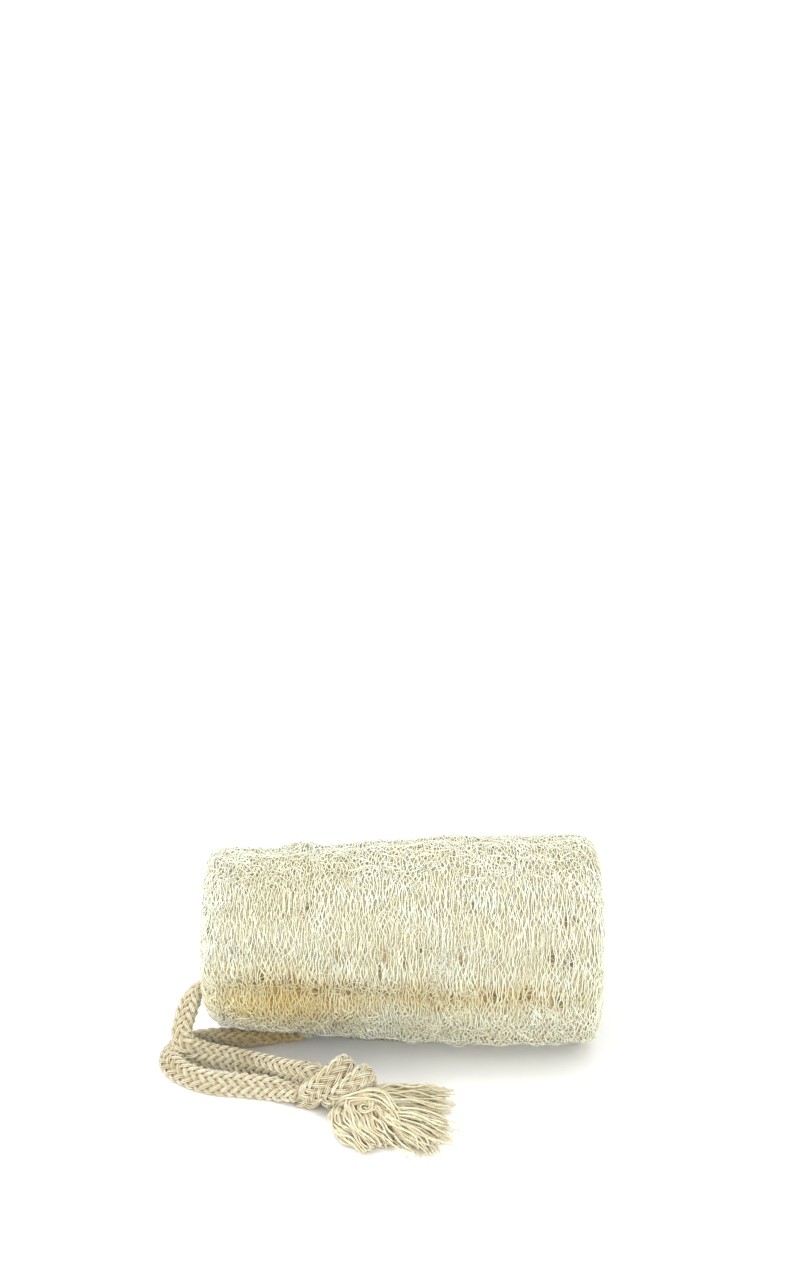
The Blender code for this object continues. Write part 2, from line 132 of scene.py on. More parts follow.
HOLES_IN_A_ROW = 13
HOLE_ROW_REACH = 64
HOLE_CHANCE = 0.75
HOLE_STRAY_ALONG = 4
HOLE_STRAY_ANGLE = 5
HOLE_HALF_WIDTHS = (0.6, 1.1)
HOLE_HALF_LENGTHS = (1.5, 2.8)
HOLE_SEED = 5
HOLE_RIM = 1.15
RIM_REACH = 1.05
RIM_LOOSENESS = 0.12
HOLE_SLOPE = 0.7

# Nets: strands in waves that meet their neighbours' waves; depths are measured into the sponge
NET_REACH = STRAIGHT_HALF + 0.75 * ARC_LENGTH
OUTER_NET = {"points": 232, "depth": 0.35 * MM, "wander": 0.45 * MM, "seed": 11}
STRAND_UNEVENNESS = 0.25
STRAND_SEED = 17
STRAND_SIZE = 8 * MM
UNDER_NET = {"points": 120, "depth": 0.85 * MM, "wander": 0.8 * MM, "seed": 29}
UNDER_COUNT = 88
UNDER_CELLS = 1.5
UNDER_RADIUS = 0.30 * MM
UNDER_HOLE_DEPTH = 2.2 * MM
WAVE_PER_CELL = 1.6
WAVE_DRIFT = 3.4
WAVE_START = 0.9
MEET_SHARE = 0.34
MEET_UNEVENNESS = 0.14
NET_UNEVENNESS = 0.25 * MM
NET_SIZES = (12 * MM, 9 * MM, 11 * MM, 5 * MM)
LONG_STRAND_COUNT = 84
LONG_STRAND_POINTS = 50
LONG_STRAND_REACH = STRAIGHT_HALF + 0.8 * ARC_LENGTH
LONG_STRAND_DEPTH = 1.4 * MM
LONG_STRAND_HOLE_DEPTH = 2.4 * MM
LONG_STRAND_SWAY = 3.4
LONG_STRAND_SEED = 37
LONG_STRAND_SIZES = (13 * MM, 6 * MM)
FIBRE_SIDES = 3

# Short fibres: lengths and depths in mm, angles in degrees
FELT_POINTS = 5
FELT_REACH = STRAIGHT_HALF + ARC_LENGTH * 0.95
FELT_SEED = 53
FELT_HALF_LENGTHS = (1.4, 3.6)
FELT_DEPTHS = (-0.15, 0.75)
FELT_THICKNESSES = (0.75, 1.3)
FELT_BEND = 0.16
FELT_DIVE = 0.55 * MM
UNDERSIDE_HALF_ANGLE = 32
UNDERSIDE_THINNING = 0.65
CROWN_ANGLES = (-65, 45)
BOW_MIDDLE = 0.4

# Short fibres: how far they stray from the way round, and where they stray farther, as the middle of
# that part, its half angle, the width of its rim and how much farther
FELT_SPREAD = 11
LOOSE_PARTS = ((-18, 58, 26, 60), (128, 34, 14, 22))

# Stray hairs: all over, in one wisp and in a fringe over the row of holes, with lengths in mm
HAIR_POINTS = 11
HAIR_SEED = 71
HAIR_REACH = STRAIGHT_HALF + 6 * MM
HAIR_RADIUS = 0.10 * MM
HAIR_HALF_LENGTHS = (2.5, 6.5)
HAIR_HEIGHTS = (0.2, 1.0)
HAIR_ROOT = 0.3 * MM
HAIR_REST_DEPTH = 0.4 * MM
HAIR_REST_HALF_ANGLE = 24
HAIR_CURL = 0.5
HAIR_TWIST = 0.25
WISP_COUNT = 14
WISP_X = 13 * MM
WISP_SPREAD = 2.2
WISP_ANGLE = 80
WISP_SLANT = -1.6
WISP_ANGLE_SPREAD = 1.6
WISP_LIE = -1.0
WISP_LIE_SPREAD = 0.22
FRINGE_COUNT = 170
FRINGE_ALONG = (-66, 26)
FRINGE_ANGLE = 95
FRINGE_ANGLE_SPREAD = 4.5
FRINGE_LIE_SPREAD = 0.7
FRINGE_RADIUS = 0.15 * MM
FRINGE_HALF_LENGTHS = (1.6, 3.8)

# Cut ends: fibres strewn over them and bent round the channels' mouths, with lengths and depths in mm
END_COUNT = 2600
END_POINTS = 7
END_SEED = 90
END_RIM = 2.5 * MM
END_STEEPEST = 0.98
END_HALF_LENGTHS = (1.8, 5.0)
END_DEPTHS = (-0.2, 2.0)
END_ROOMS = (0.0, 0.9)
END_THICKNESSES = (0.8, 1.4)
END_BEND = 0.35
END_LIE_SPREAD = 0.9
END_DIVE = 0.5 * MM
END_RADIUS = 0.17 * MM
BEND_COUNT = 34
BEND_POINTS = 13
BEND_SPANS = (1.2, 3.6)
BEND_DEPTHS = (-0.1, 2.4)
BEND_RADIUS = 0.2 * MM
BEND_SEEDS = (150, 160)
BEND_SIZES = (6 * MM, 5 * MM)
BEND_ROOMS = (0.2, 2.2)
BEND_SWAY = 0.45 * MM
BEND_DIP = 0.3 * MM
BEND_CROWDING = 1.5
BEND_RISE = 0.6
BEND_APART = 9 * MM

# Channel walls: fibres along them and across them
LINING_REACH = SPONGE_LENGTH / 2 - 1 * MM
LINING_COUNT = 30
LINING_POINTS = 40
LINING_RADIUS = 0.17 * MM
LINING_SEEDS = (120, 130, 140)
LINING_SIZES = (9 * MM, 7 * MM)
LINING_SWAY = 0.16
LINING_ROOM = 0.15 * MM
LINING_UNEVENNESS = 0.3 * MM
CROSS_COUNT = 340
CROSS_POINTS = 6
CROSS_SPANS = (0.25, 0.6)
CROSS_ROOMS = (-0.2, 0.5)
CROSS_SLANT = 1.6
CROSS_CROWDING = 1.6
CROSS_RADIUS = 0.16 * MM

# Dense middle: its mesh, and the room round the channels that are cut through it
MIDDLE_SIDES = 150
MIDDLE_RINGS = 104
MIDDLE_END_RINGS = 9
MIDDLE_DEPTH = 1.75 * MM
MIDDLE_HOLE_DEPTH = 3.4 * MM
MIDDLE_UNEVENNESS = 0.35 * MM
MIDDLE_SEED = 201
MIDDLE_SIZE = 4.5 * MM
MIDDLE_WAVES = 14
MIDDLE_END_SHARE = 0.8
CUTTER_SIDES = 30
CUTTER_RINGS = 40
CUTTER_ROOM = 0.7 * MM
CUTTER_REACH = SPONGE_LENGTH / 2 + 4 * MM

# Cord: the whole length from the knot to the knot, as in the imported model's source
CORD_ROUTE = (
    (-0.0355, -0.0500, 0.0094), (-0.0412, -0.0456, 0.0078), (-0.0482, -0.0394, 0.0060),
    (-0.0570, -0.0330, 0.0042), (-0.0641, -0.0286, 0.0034), (-0.0705, -0.0268, 0.0036),
    (-0.0762, -0.0264, 0.0048), (-0.0812, -0.0262, 0.0074), (-0.0834, -0.0240, 0.0104),
    (-0.0830, -0.0200, 0.0140), (-0.0816, -0.0158, 0.0182), (-0.0792, -0.0124, 0.0222),
    (-0.0750, -0.0107, 0.0252), (-0.0690, -0.0104, 0.0266), (-0.0600, -0.0102, 0.0262),
    (-0.0510, -0.0100, 0.0256), (-0.0440, -0.0098, 0.0252), (-0.0370, -0.0095, 0.0228),
    (-0.0322, -0.0092, 0.0176), (-0.0322, -0.0088, 0.0112), (-0.0360, -0.0084, 0.0061),
    (-0.0410, -0.0080, 0.0037), (-0.0460, -0.0078, 0.0033), (-0.0520, -0.0098, 0.0033),
    (-0.0590, -0.0118, 0.0033), (-0.0665, -0.0117, 0.0033), (-0.0735, -0.0114, 0.0033),
    (-0.0795, -0.0130, 0.0033), (-0.0845, -0.0170, 0.0033), (-0.0871, -0.0224, 0.0033),
    (-0.0872, -0.0286, 0.0033), (-0.0841, -0.0351, 0.0033), (-0.0783, -0.0408, 0.0033),
    (-0.0705, -0.0451, 0.0033), (-0.0590, -0.0474, 0.0033), (-0.0477, -0.0496, 0.0033),
    (-0.0420, -0.0519, 0.0034), (-0.0368, -0.0545, 0.0036),
)
MOUTH_POINT = 12
UNDERSIDE_POINT = 21
LAST_POINT = len(CORD_ROUTE) - 1

# Cord: the room that it takes in the sponge, and the box that this room lies in
CORD_ROOM = 4.6 * MM
CORD_ROOM_STEP = 1.5 * MM
CORD_ROOM_POINTS = (MOUTH_POINT - 3, UNDERSIDE_POINT + 8)
CORD_ROOM_BOX = ((-math.inf, -24 * MM), (-30 * MM, 10 * MM), (-math.inf, 34 * MM))

# Braid: how high and how far aside its yarns lie, the painted shade where they dive under others and at
# their edges, and the core that closes its gaps, which carries the full painted shade
BRAID_STEP = 0.78 * MM
BRAID_LIFT = 0.46 * MM
BRAID_CROSSING = 1.7
YARN_ASIDE = 0.76
YARN_CROWN = 0.16 * MM
YARN_SIDES = 3
FLOOR_GAP = 0.05 * MM
SHADE_UNDER_STRANDS = 0.34
SHADE_AT_STRAND_EDGE = 0.08
CORE_SHARE = 0.86
CORE_SIDES = 14
CORE_HEIGHT = 0.4 * MM

# Cord: the way that its wide side faces, at some of the route's points
WIDE_WAYS = (
    (0, (0, 0.50, 0.87)), (2, (0, 0.55, 0.84)), (3, (0, 0.75, 0.66)), (5, (0, 0.84, 0.54)),
    (8, (0.75, -0.35, 0.55)), (10, (0.85, -0.5, 0.15)), (12, (0, -0.95, 0.3)),
    (14, (0, -1, 0)), (22, (0, -1, 0)), (26, (0, -1, 0.1)), (28, (0.8, -0.6, 0.2)), (30, (1, 0.3, 0.35)),
    (33, (0.3, 0.82, 0.5)), (35, (0, 0.88, 0.4)), (37, (0, 0.98, -0.2)),
)

# Knot: its turns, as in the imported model's source
KNOT_CENTRE = np.array((-0.0228, -0.0578, 0.0098))
KNOT_AXIS = np.array((0.86, -0.50, -0.06))
KNOT_TURNS = (
    {"along": -4.8 * MM, "long": 9.3 * MM, "across": 6.4 * MM, "lean": 42, "wide": 4.6 * MM},
    {"along": 3.9 * MM, "long": 8.4 * MM, "across": 6.0 * MM, "lean": 44, "wide": 4.3 * MM},
    {"along": 9.0 * MM, "long": 5.4 * MM, "across": 4.6 * MM, "lean": 8, "wide": 3.6 * MM},
)
TURN_HALF_THICKNESS = 3.7 * MM
INTO_KNOT_SHARE = 0.6
INTO_KNOT_RUN = 2.5 * MM
INTO_KNOT_WIDE_WAY = (0, 0.77, 0.64)

# Frayed ends: bunches of yarn as count, spread at the root and at the tip in mm, and a guide in mm
YARN_BUNCHES = (
    (20, 1.2, 2.8, ((-17.8, -65.5, 9), (-9.7, -59.3, 8), (-0.6, -57.3, 6.5), (8.4, -55.9, 5),
                    (17.0, -56.0, 3))),
    (10, 0.8, 1.4, ((-15.0, -64.1, 10), (-6.1, -57.9, 9), (6.6, -54.1, 6), (18.7, -53.8, 5))),
    (20, 1.3, 2.2, ((-22.9, -65.3, 4), (-21.4, -67.3, 8), (-18.8, -69.6, 11), (-13.1, -70.1, 12.5),
                    (-6.7, -70.3, 11), (-2.7, -75.0, 9), (-0.6, -77.0, 5), (0.6, -80.5, 3))),
    (10, 0.9, 1.0, ((-20.2, -71.3, 6), (-18.4, -71.6, 9), (-14.1, -72.1, 10.5), (-9.8, -73.3, 10),
                   (-7.0, -75.3, 8), (-7.4, -78.0, 6), (-10.5, -78.6, 5.5), (-12.2, -76.0, 6))),
    (22, 1.4, 3.2, ((-22.8, -68.7, 6), (-23.7, -74.0, 6), (-22.1, -78.8, 4.5), (-16.8, -82.7, 2.5),
                    (-10.4, -87.0, 1.2))),
    (24, 1.5, 3.0, ((-18.4, -69.3, 9.5), (-18.3, -74.3, 8.5), (-15.7, -80.3, 6.5), (-12.5, -84.5, 4),
                    (-9.0, -88.0, 1.2))),
    (22, 1.2, 3.0, ((-14.1, -71.3, 9), (-12.4, -77.6, 8), (-9.0, -82.6, 5), (-5.0, -86.6, 1.5))),
    (24, 1.3, 3.6, ((-13.3, -69.0, 8), (-5.9, -76.0, 6.5), (-1.7, -80.6, 5), (2.9, -84.5, 3.4),
                    (6.4, -87.0, 2), (8.7, -91.4, 1.2))),
    (24, 1.2, 3.6, ((-12.6, -67.3, 8.5), (-2.6, -68.6, 7), (5.6, -68.6, 5), (11.5, -69.7, 3.5),
                    (16.8, -70.9, 2.5))),
    (28, 1.3, 4.2, ((-12.6, -68.6, 8), (-4.7, -74.5, 7), (4.4, -78.4, 5.5), (11.3, -81.2, 3.5),
                    (17.6, -83.2, 1.5))),
    (20, 1.1, 2.8, ((-14.2, -66.9, 10), (-5.4, -61.4, 8), (3.3, -59.3, 6.5), (11.7, -59.4, 5),
                    (18.8, -59.0, 4))),
    (6, 0.5, 0.6, ((-16.5, -72.0, 10.6), (-13.2, -71.4, 11.4), (-10.6, -72.9, 11.2), (-10.3, -75.6, 10.4),
                   (-12.6, -77.0, 9.9), (-14.6, -75.7, 10.2), (-14.2, -74.0, 10.6), (-12.8, -73.9, 10.6))),
    (18, 1.0, 3.6, ((-12.0, -68.0, 6), (-3.0, -72.0, 3.5), (6.0, -74.5, 2.2), (15.6, -76.5, 1.2))),
    (30, 1.6, 3.6, ((-14.0, -70.0, 6), (-9.5, -75.5, 3.5), (-4.5, -80.0, 2.2), (0.0, -84.0, 1.0))),
    (26, 1.4, 3.4, ((-12.0, -69.0, 6), (-3.5, -74.0, 3.2), (5.0, -78.0, 2.0), (12.5, -81.0, 1.0))),
    (22, 1.3, 2.6, ((-12.0, -67.0, 6), (-3.0, -64.5, 3.4), (6.0, -64.0, 2.2), (15.0, -65.0, 1.0))),
)
YARN_POINTS = 18
YARN_SEED = 31
LOOSE_YARN_SIDES = 4
YARN_SHARES = (0.82, 1.03)
YARN_SPREADS = (0.72, 0.50)
YARN_WAVES = ((0.75 * MM, (6, 14)), (0.45 * MM, (7, 16)))
YARN_THINNING = 0.35
YARN_TOP_WAY = (0.05, 0.02, 1.0)

# Colour: places where the fibre is yellower, with how far they reach and their tint; the cord's tint under
# the sponge is painted warm shade
STRAW_PATCHES = (
    ((-49 * MM, -34 * MM, 28 * MM), (46 * MM, 24 * MM, 21 * MM), linear("#F2DEA4")),
    ((6 * MM, -40 * MM, 34 * MM), (78 * MM, 18 * MM, 9 * MM), linear("#F6E9C8")),
)
# Painted warm shade on the cord where it lies in the shade under the sponge
SHADE_TINT_UNDER_SPONGE = (
    ((-52 * MM, -9 * MM, 2 * MM), (30 * MM, 11 * MM, 16 * MM), linear("#FFE2A2")),
)

# Finish: loofah and cotton are both cellulose, whose index is about 1.47
CELLULOSE_IOR = 1.47
FIBRE_SPECULAR = 0.3
FIBRE_SHEEN_ROUGHNESS = 0.5

# Camera: what the photo's frame and the sponge's place in it give
PHOTO_SIZE_PX = (800, 1280)
PHOTO_CENTRE_PX = (402, 939)
FOCAL_LENGTH_PX = 1918
SENSOR_LONG_SIDE_MM = 36

# Studio: the floor and two square soft lights, in metres
FLOOR_HALF = 4.0
KEY_PLACE = (-0.45, 0.15, 0.95)
KEY_SIZE = 0.7
FILL_PLACE = (0.15, -1.0, 0.14)
FILL_SIZE = 0.8


def colour_property(name, hex_colour, description):
    return FloatVectorProperty(
        name=name, description=description, subtype="COLOR", size=3, min=0, max=1,
        default=linear(hex_colour))


def length_property(name, default, description):
    return FloatProperty(name=name, description=description, default=default, min=0, unit="LENGTH")


class LoofahSettings(bpy.types.PropertyGroup):
    """Sizes and colours of the dried gourd."""
    strand_spacing: length_property("Strand spacing", 1.1 * MM, "Between the strands that run round")
    strand_radius: length_property("Strand radius", 0.26 * MM, "Half the thickness of an outer strand")
    cell_length: length_property("Cell length", 3.8 * MM, "Length of the slim cells between the strands")
    felt_count: IntProperty(name="Short fibres", description="Loose fibres over the net", default=7500)
    felt_radius: length_property("Short fibre radius", 0.20 * MM, "Half the thickness of a short fibre")
    hair_count: IntProperty(name="Stray hairs", description="Long pale hairs over the net", default=240)
    outer_colour: colour_property("Outer fibre", "#E9ECDF", "Sun-bleached fibre on the outside")
    straw_colour: colour_property("Straw streaks", "#E4E2C8", "Yellower streaks in the outer fibre")
    inner_colour: colour_property("Inner fibre", "#DFDABB", "Fibre under the outer net")
    # Deeper tan at the bottom of the open holes: partly the yellower fibre there, partly painted shade
    hole_colour: colour_property("Holes", "#CFA25C", "The dense net at the bottom of an open hole")
    middle_colour: colour_property("Middle", "#DAD1AC", "The dense net deep in the holes")
    shade_colour: colour_property("Middle, shaded", "#B9AC80", "Between the fine strands of the dense net")


class CordSettings(bpy.types.PropertyGroup):
    """Sizes and colours of the braided cord, its knot and its frayed ends."""
    half_width: length_property("Half width", 5.0 * MM, "Half of the flattened cord's width")
    half_thickness: length_property("Half thickness", 3.0 * MM, "Half of the flattened cord's thickness")
    strands: IntProperty(name="Strands", description="Strands in the braid, a multiple of 4", default=16)
    yarns: IntProperty(name="Yarns", description="Yarns that lie side by side in a strand", default=3)
    lay: length_property("Lay", 30 * MM, "Length of cord in which a strand goes once round")
    yarn_radius: length_property("Yarn radius", 0.36 * MM, "Half the thickness of a yarn in the braid")
    loose_radius: length_property("Loose yarn radius", 0.46 * MM, "Half the thickness of a frayed yarn")
    cotton_colour: colour_property("Cotton", "#E2DDC6", "Undyed cotton where the light falls on it")
    loose_colour: colour_property("Frayed cotton", "#D8D3B6", "Undyed cotton where its twist is let out")
    seed_colour: colour_property("Cotton, darker", "#C8BC98", "Undyed cotton with flecks of seed in it")
    # Painted shade: the colour blended in where a strand dives under others, at the strands' edges and on
    # the braid's core
    buried_colour: colour_property("Cotton, deep", "#9C8A5C", "Where a strand dives under others")


class StudioSettings(bpy.types.PropertyGroup):
    """The camera, the floor and the light."""
    sight_fall: FloatProperty(
        name="Fall of sight", description="How steeply the line of sight to the sponge falls",
        subtype="ANGLE", default=math.radians(26))
    sight_distance: length_property("Distance", 0.75, "From the camera to the middle of the sponge")
    sky_strength: FloatProperty(name="Sky", description="Light from all round", default=1.2, min=0)
    fill_power: FloatProperty(
        name="Fill light", description="Power of the soft light in front", default=8.0, min=0)
    key_power: FloatProperty(
        name="Key light", description="Power of the soft light above", default=6.0, min=0)
    paper_colour: colour_property("Paper", "#FBFBFC", "The floor")


def smooth(share):
    share = np.clip(share, 0, 1)
    return share * share * (3 - 2 * share)


def degrees_between(a, b):
    return np.abs((a - b + 180) % 360 - 180)


def unit(vectors):
    return vectors / np.maximum(np.linalg.norm(vectors, axis=-1, keepdims=True), 1e-12)


def across(ways, ahead):
    """The ways made square to ahead."""
    return unit(ways - (ways * ahead).sum(-1, keepdims=True) * ahead)


def run_along(points):
    """The length along a chain of points up to each of them."""
    return np.concatenate([[0], np.cumsum(np.linalg.norm(np.diff(points, axis=0), axis=1))])


def even_turns(sides):
    """The angles of a ring's corners."""
    return 2 * math.pi * np.arange(sides) / sides


def waves(seed, size, count=10):
    """Smooth random unevenness over space, mostly between -1 and 1, with features of about that size."""
    draw = np.random.default_rng(seed)
    ways = unit(draw.normal(size=(count, 3))).T
    ways *= 2 * math.pi / (size * draw.uniform(0.7, 1.6, count))
    phases = draw.uniform(0, 2 * math.pi, count)
    return lambda places: np.sin(places @ ways + phases).sum(-1) * 0.85 / math.sqrt(count)


def spline_through(route):
    """A smooth curve through the route's points: returns its chord lengths and a function of length."""
    points = np.array(route, float)
    at = run_along(points)
    step = np.diff(at)
    slope = np.diff(points, axis=0) / step[:, None]
    tangent = np.empty_like(points)
    tangent[0], tangent[-1] = slope[0], slope[-1]
    before, after = step[:-1, None], step[1:, None]
    tangent[1:-1] = (slope[:-1] * after + slope[1:] * before) / (before + after)

    def read(lengths):
        lengths = np.asarray(lengths, float)
        i = np.clip(np.searchsorted(at, lengths) - 1, 0, len(step) - 1)
        t = ((lengths - at[i]) / step[i])[..., None]
        out, into = tangent[i] * step[i][..., None], tangent[i + 1] * step[i][..., None]
        return (
            (2 * t**3 - 3 * t**2 + 1) * points[i] + (t**3 - 2 * t**2 + t) * out
            + (3 * t**2 - 2 * t**3) * points[i + 1] + (t**3 - t**2) * into
        )

    return at, read


def ring_faces(count, length, sides):
    """Side faces and end faces of closed tubes whose points lie ring after ring, tube after tube."""
    first = np.arange(count)[:, None, None] * length * sides
    a = first + np.arange(length - 1)[:, None] * sides + np.arange(sides)
    b = first + np.arange(length - 1)[:, None] * sides + (np.arange(sides) + 1) % sides
    walls = np.stack([a, b, b + sides, a + sides], -1).reshape(-1, 4)
    start = first[:, 0] + np.arange(sides)[::-1]
    finish = first[:, 0] + (length - 1) * sides + np.arange(sides)
    return walls, np.concatenate([start, finish])


def tubes(paths, radii, sides, outward):
    """Points, side faces and end faces of tubes, one along each path, with an edge facing outward."""
    ahead = unit(np.gradient(paths, axis=1))
    top = across(np.broadcast_to(outward, paths.shape) + 1e-5, ahead)
    side = np.cross(ahead, top)
    turns = even_turns(sides)
    radii = np.broadcast_to(radii, paths.shape[:2])[..., None, None]
    ring = np.cos(turns)[:, None] * top[..., None, :] + np.sin(turns)[:, None] * side[..., None, :]
    points = (paths[..., None, :] + radii * ring).reshape(-1, 3)
    return points, *ring_faces(*paths.shape[:2], sides)


def sleeve(rings):
    """Points, side faces and end faces of a closed sleeve through rings that go round +X anticlockwise."""
    return rings.reshape(-1, 3), *ring_faces(1, *rings.shape[:2])


def tapered(radius, length, tip=0.4):
    """Radii along a fibre that thins out towards both ends."""
    ends = np.minimum(np.arange(length), np.arange(length)[::-1])
    return radius * np.where(ends == 0, tip, 1.0)


def mesh_of(name, parts, share=""):
    """One mesh from parts of points, four-sided faces and end faces. Where share is named, each part also
    has a share at each of its points, which the piece's material reads."""
    corners, sizes, shift = [], [], 0
    for part in parts:
        for faces in part[1:3]:
            corners.append((faces + shift).ravel())
            sizes.append(np.full(len(faces), faces.shape[1]))
        shift += len(part[0])
    corners, sizes = np.concatenate(corners), np.concatenate(sizes)
    mesh = bpy.data.meshes.new(name)
    mesh.vertices.add(shift)
    mesh.vertices.foreach_set("co", np.concatenate([part[0] for part in parts]).astype(np.float32).ravel())
    mesh.loops.add(len(corners))
    mesh.loops.foreach_set("vertex_index", corners.astype(np.int32))
    mesh.polygons.add(len(sizes))
    mesh.polygons.foreach_set("loop_start", (np.cumsum(sizes) - sizes).astype(np.int32))
    mesh.update(calc_edges=True)
    if share:
        values = np.concatenate([part[3] for part in parts]).astype(np.float32)
        mesh.attributes.new(share, "FLOAT", "POINT").data.foreach_set("value", values)
    return mesh


def add_piece(name, parts, material, share=""):
    """A smooth piece that rides on the sponge's body, from parts as mesh_of takes them."""
    mesh = mesh_of(name, parts, share)
    mesh.materials.append(material)
    mesh.shade_smooth()
    piece = bpy.data.objects.new(name, mesh)
    bpy.context.scene.collection.objects.link(piece)
    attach(piece, "root")
    return piece


def add(tree, kind, inputs=None, **settings):
    """Adds a node. inputs gives a socket's name or number a value, or another node's output to link."""
    node = tree.nodes.new(kind)
    for name, value in settings.items():
        setattr(node, name, value)
    for socket, value in (inputs or {}).items():
        if isinstance(value, bpy.types.NodeSocket):
            tree.links.new(value, node.inputs[socket])
        else:
            node.inputs[socket].default_value = value
    return node


MIX_SHARE, MIX_FIRST, MIX_SECOND, MIX_RESULT = 0, 6, 7, 2


def made_once(make):
    """Names a material after its function, which makes it on its first use and finds it after that."""
    def give():
        return bpy.data.materials.get(make.__name__) or make(make.__name__)
    return give


def matt_material(name, finish):
    """A material, and its shader with the finish set on the shader's own sockets."""
    made = bpy.data.materials.new(name)
    made.use_nodes = True
    shader = made.node_tree.nodes["Principled BSDF"]
    for socket, value in finish.items():
        shader.inputs[socket].default_value = value
    return made, shader


def fibre_material(name, colours, streak, patch, roughness, sheen, bump, grain, stain_and_shade_tints=(), soak=0.85):
    """A matt fibre: colours mix in streaks of one size and patches of a larger one, over a grain. The real
    grain is finer than 0.1 mm and is drawn coarser, so that it shows. Each tint gives a place, how far
    round it the fibre is tinted, and the tint; soak is its strength. The loofah's tints are yellower
    patches in its fibre; the cord's tint under the sponge is painted warm shade."""
    made, shader = matt_material(name, {
        "Roughness": roughness, "IOR": CELLULOSE_IOR, "Specular IOR Level": FIBRE_SPECULAR,
        "Sheen Weight": sheen, "Sheen Roughness": FIBRE_SHEEN_ROUGHNESS})
    tree = made.node_tree
    light, dark, deep = [(*colour, 1) for colour in colours]
    place = add(tree, "ShaderNodeTexCoord").outputs["Object"]
    streaks = add(tree, "ShaderNodeTexNoise", {"Vector": place, "Scale": 1 / streak, "Detail": 2.0})
    share = add(tree, "ShaderNodeMapRange", {
        "Value": streaks.outputs["Fac"], "From Min": 0.38, "From Max": 0.68})
    mixed = add(tree, "ShaderNodeMix", {
        MIX_SHARE: share.outputs["Result"], MIX_FIRST: light, MIX_SECOND: dark}, data_type="RGBA")
    patches = add(tree, "ShaderNodeTexNoise", {"Vector": place, "Scale": 1 / patch, "Detail": 1.0})
    extent = add(tree, "ShaderNodeMapRange", {
        "Value": patches.outputs["Fac"], "From Min": 0.45, "From Max": 0.75, "To Max": 0.7})
    patched = add(tree, "ShaderNodeMix", {
        MIX_SHARE: extent.outputs["Result"], MIX_FIRST: mixed.outputs[MIX_RESULT], MIX_SECOND: deep},
        data_type="RGBA")
    colour = patched.outputs[MIX_RESULT]
    for middle, reach, tint in stain_and_shade_tints:
        off = add(tree, "ShaderNodeVectorMath", {0: place, 1: middle}, operation="SUBTRACT")
        near = add(tree, "ShaderNodeVectorMath", {0: off.outputs[0], 1: [1 / r for r in reach]},
                   operation="MULTIPLY")
        far = add(tree, "ShaderNodeVectorMath", {0: near.outputs[0]}, operation="LENGTH")
        fade = add(tree, "ShaderNodeMapRange", {
            "Value": far.outputs["Value"], "From Min": 0.25, "From Max": 1.0,
            "To Min": soak, "To Max": 0.0})
        stain_and_shade_mix = add(tree, "ShaderNodeMix", {
            MIX_SHARE: fade.outputs["Result"], MIX_FIRST: colour, MIX_SECOND: (*tint, 1)},
            data_type="RGBA", blend_type="MULTIPLY")
        colour = stain_and_shade_mix.outputs[MIX_RESULT]
    tree.links.new(colour, shader.inputs["Base Color"])
    fine = add(tree, "ShaderNodeTexNoise", {"Vector": place, "Scale": 1 / grain, "Detail": 1.0})
    relief = add(tree, "ShaderNodeBump", {
        "Height": fine.outputs["Fac"], "Strength": bump, "Distance": grain})
    tree.links.new(relief.outputs["Normal"], shader.inputs["Normal"])
    return made


def blend_in(material, attribute, colour):
    """Blends a colour into the material by the share that the mesh's points carry."""
    tree = material.node_tree
    base = tree.nodes["Principled BSDF"].inputs["Base Color"]
    share = add(tree, "ShaderNodeAttribute", attribute_name=attribute)
    blended = add(tree, "ShaderNodeMix", {
        MIX_SHARE: share.outputs["Fac"], MIX_FIRST: base.links[0].from_socket,
        MIX_SECOND: (*colour, 1)}, data_type="RGBA")
    tree.links.new(blended.outputs[MIX_RESULT], base)


@made_once
def sun_bleached_loofah_fibre(name):
    """Sun-bleached loofah fibre, peeled, washed and dried: matt, pale cream with straw streaks."""
    tone = bpy.context.scene.loofah
    return fibre_material(
        name, (tone.outer_colour, tone.straw_colour, tone.inner_colour), streak=2.2 * MM, patch=26 * MM,
        roughness=0.72, sheen=0.10, bump=0.25, grain=0.25 * MM, stain_and_shade_tints=STRAW_PATCHES, soak=0.65)


@made_once
def shaded_loofah_fibre(name):
    """Loofah fibre that the sun didn't reach: the same matt fibre, straw yellow."""
    tone = bpy.context.scene.loofah
    return fibre_material(
        name, (tone.straw_colour, tone.inner_colour, tone.middle_colour), streak=2.6 * MM, patch=22 * MM,
        roughness=0.75, sheen=0.05, bump=0.25, grain=0.25 * MM, stain_and_shade_tints=STRAW_PATCHES, soak=1.0)


